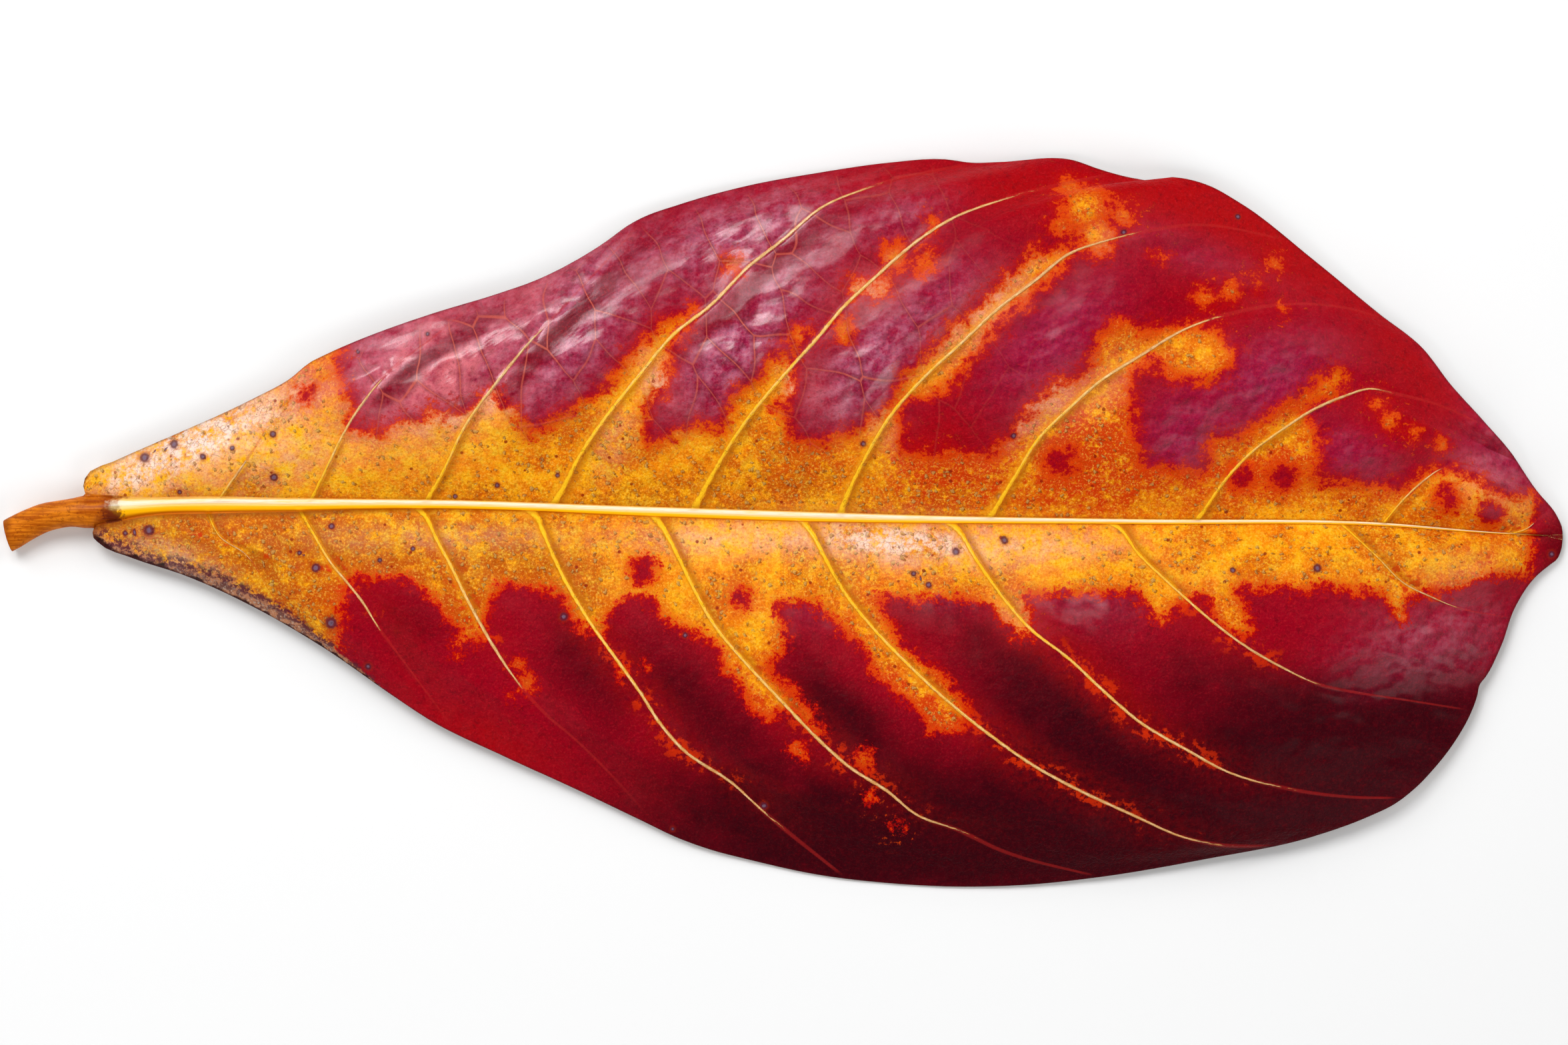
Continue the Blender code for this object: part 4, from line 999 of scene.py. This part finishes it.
    wrinkle = finish.mottle(1.1, 4.0, 0.6, warp=0.5)
    pucker = finish.mottle(2.8, 2.0, 0.5)
    height = wrinkle * 0.24 + pucker * (0.12 + mauve_and_sheen * left * 0.9) + speckle * 0.07 + grain * 0.03
    height = height + threads * 0.04 - furrow * 0.10 - fine_net * 0.03 - pit * 0.14
    height = height + cord * fibre * 0.12
    height = height * from_rib.fade(0.7, 1.6) + strands * 0.08 * from_rib.fade(1.1, 0.7)
    relief = {"Strength": 0.9, "Distance": MM, "Height": height}
    finish.into("Normal", finish.add("ShaderNodeBump", {}, relief, "Normal"))
    return finish.material


def card(name, description, colour):
    return FloatVectorProperty(name=name, description=description, subtype="COLOR", size=3,
                               min=0.0, max=1.0, default=srgb(*colour)[:3])


class LeafSizes(bpy.types.PropertyGroup):
    """Sizes of the leaf's relief."""

    blade: FloatProperty(name="Blade thickness", description="Thickness between the veins",
                         default=0.46 * MM, unit="LENGTH")
    bulge: FloatProperty(name="Panel bulge", description="Rise of the blade between two veins",
                         default=1.25 * MM, unit="LENGTH")
    vein: FloatProperty(name="Vein height", description="Height of a side vein at its foot",
                        default=0.36 * MM, unit="LENGTH")
    wrinkle: FloatProperty(name="Wrinkles", description="Height of the blade's soft waves",
                           default=0.55 * MM, unit="LENGTH")


class LeafColours(bpy.types.PropertyGroup):
    """Colours of the leaf's skin."""

    gold: card("Gold", "The blade beside its veins", (255, 176, 14))
    orange: card("Orange", "Mottling in the gold", (244, 138, 6))
    flame: card("Flame", "Where the gold turns to red", (184, 8, 1))
    scarlet: card("Scarlet", "The outer blade", (172, 0, 4))
    crimson: card("Crimson", "The blade between its veins", (148, 0, 24))
    # The mauve of the swollen panels, partly painted sheen.
    mauve_and_sheen: card("Mauve", "The bloom on the swollen panels", (160, 18, 76))
    # The near black of the right margin, partly painted shade.
    maroon_and_shade: card("Maroon", "The right margin", (56, 0, 10))
    vein: card("Vein", "The side veins near the midrib", (255, 196, 30))


class StudioSettings(bpy.types.PropertyGroup):
    """The floor, the lights and the camera."""

    floor: card("Floor", "The pale floor", (244, 244, 244))
    key: FloatProperty(name="Key light", description="Power of the light beyond the left half",
                       default=2.5, unit="POWER")
    fill: FloatProperty(name="Fill lights", description="Power of each low light round the leaf",
                        default=6.0, unit="POWER")
    lens: FloatProperty(name="Lens", description="Focal length of the camera in millimetres",
                        default=100.0, min=20.0)
    view: FloatProperty(name="View width", description="Width that the camera sees at the leaf",
                        default=223.1 * MM, unit="LENGTH")


class Millimetres:
    """The leaf's sizes as plain numbers of millimetres."""

    def __init__(self, sizes):
        for name in ("blade", "bulge", "vein", "wrinkle"):
            setattr(self, name, getattr(sizes, name) / MM)


CREASE = 50  # degrees between two faces, past which the edge between them is sharp


class LEAF_OT_blade(bpy.types.Operator):
    """Model the leaf: two skins that meet round its margin, with its stalk and veins"""

    bl_idname = "leaf.blade"
    bl_label = "Leaf"
    bl_options = {"REGISTER", "UNDO"}

    def execute(self, context):
        upper, lower = leaf_skins(Millimetres(context.scene.leaf_sizes))
        clear_selection()
        upper.select_set(True)
        lower.select_set(True)
        context.view_layer.objects.active = upper
        bpy.ops.object.join()
        leaf = context.object
        leaf.name = leaf.data.name = "leaf_skin"
        bpy.ops.object.mode_set(mode="EDIT")
        bpy.ops.mesh.select_all(action="SELECT")
        bpy.ops.mesh.remove_doubles(threshold=1e-6)
        bpy.ops.mesh.select_all(action="DESELECT")
        bpy.ops.mesh.select_non_manifold()
        bpy.ops.mesh.edge_face_add()
        bpy.ops.mesh.select_all(action="SELECT")
        bpy.ops.mesh.normals_make_consistent(inside=False)
        bpy.ops.mesh.select_all(action="DESELECT")
        bpy.ops.object.mode_set(mode="OBJECT")
        sides = np.zeros(len(leaf.data.loops), int)
        leaf.data.loops.foreach_get("edge_index", sides)
        if (np.bincount(sides, minlength=len(leaf.data.edges)) != 2).any():
            raise RuntimeError("the leaf's two skins don't close into one")
        bpy.ops.object.shade_smooth_by_angle(angle=math.radians(CREASE))
        leaf.data.materials.clear()
        leaf.data.materials.append(leaf_finish(context.scene.leaf_colours))
        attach(leaf, "root")
        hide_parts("leaf")
        return {"FINISHED"}


# The studio, in metres and degrees.
FLOOR_SIDE = 4.0
KEY_PLACE = (-0.16, 0.36, 0.58)
KEY_WIDTH = 0.34
FILL_TURNS = (40, 130, 220, 310)
FILL_REACH = 1.1
FILL_HEIGHT = 0.75
FILL_WIDTH = 0.9
ROOM_GLOW = 0.03
SENSOR = 36.0  # the camera's width of film, in millimetres
VIEW_HEIGHT = 2 * MM  # where the view's width is measured, above the floor


class LEAF_OT_stage(bpy.types.Operator):
    """Lay a pale floor under the leaf, light it softly and look straight down on it"""

    bl_idname = "leaf.stage"
    bl_label = "Studio"
    bl_options = {"REGISTER", "UNDO"}

    def lamp(self, context, name, place, size, power):
        bpy.ops.object.light_add(type="AREA", location=place)
        lamp = context.object
        lamp.name = name
        lamp.data.shape = "DISK"
        lamp.data.size = size
        lamp.data.energy = power
        lamp.rotation_euler = (-Vector(place)).to_track_quat("-Z", "Y").to_euler()

    def execute(self, context):
        studio = context.scene.leaf_studio
        clear_selection()
        bpy.ops.mesh.primitive_plane_add(size=FLOOR_SIDE, location=(0, 0, 0))
        floor = context.object
        floor.name = "floor"
        paper = bpy.data.materials.new("floor_paper")
        paper.use_nodes = True
        shader = paper.node_tree.nodes["Principled BSDF"]
        shader.inputs["Base Color"].default_value = (*studio.floor, 1.0)
        shader.inputs["Roughness"].default_value = 0.9
        shader.inputs["Specular IOR Level"].default_value = 0.1
        floor.data.materials.append(paper)
        self.lamp(context, "key", KEY_PLACE, KEY_WIDTH, studio.key)
        for number, turn in enumerate(FILL_TURNS):
            turn = math.radians(turn)
            place = (FILL_REACH * math.cos(turn), FILL_REACH * math.sin(turn), FILL_HEIGHT)
            self.lamp(context, f"fill_{number}", place, FILL_WIDTH, studio.fill)
        world = bpy.data.worlds.new("studio")
        world.use_nodes = True
        background = world.node_tree.nodes["Background"]
        background.inputs["Color"].default_value = (1, 1, 1, 1)
        background.inputs["Strength"].default_value = ROOM_GLOW
        context.scene.world = world
        away = studio.view * studio.lens / SENSOR + VIEW_HEIGHT
        bpy.ops.object.camera_add(location=(0, 0, away), rotation=(0, 0, 0))
        camera = context.object
        camera.name = "camera"
        camera.data.lens = studio.lens
        camera.data.sensor_width = SENSOR
        camera.data.clip_start = 0.01
        context.scene.camera = camera
        context.scene.view_settings.view_transform = "Standard"
        return {"FINISHED"}


class LEAF_PT_panel(bpy.types.Panel):
    """The leaf's sizes, colours and studio, with a button for each piece"""

    bl_idname = "LEAF_PT_panel"
    bl_label = "Autumn Leaf"
    bl_space_type = "VIEW_3D"
    bl_region_type = "UI"
    bl_category = "Leaf"

    def draw(self, context):
        for group, operator in (("leaf_sizes", None), ("leaf_colours", "leaf.blade"),
                                ("leaf_studio", "leaf.stage")):
            box = self.layout.box()
            settings = getattr(context.scene, group)
            for name in settings.__annotations__:
                box.prop(settings, name)
            if operator:
                box.operator(operator)


CLASSES = (LeafSizes, LeafColours, StudioSettings, LEAF_OT_blade, LEAF_OT_stage, LEAF_PT_panel)


def register():
    for item in CLASSES:
        bpy.utils.register_class(item)
    bpy.types.Scene.leaf_sizes = PointerProperty(type=LeafSizes)
    bpy.types.Scene.leaf_colours = PointerProperty(type=LeafColours)
    bpy.types.Scene.leaf_studio = PointerProperty(type=StudioSettings)


def unregister():
    del bpy.types.Scene.leaf_studio
    del bpy.types.Scene.leaf_colours
    del bpy.types.Scene.leaf_sizes
    for item in reversed(CLASSES):
        bpy.utils.unregister_class(item)


def main():
    register()
    bpy.ops.leaf.blade()
    bpy.ops.leaf.stage()


if __name__ == "__main__":
    main()
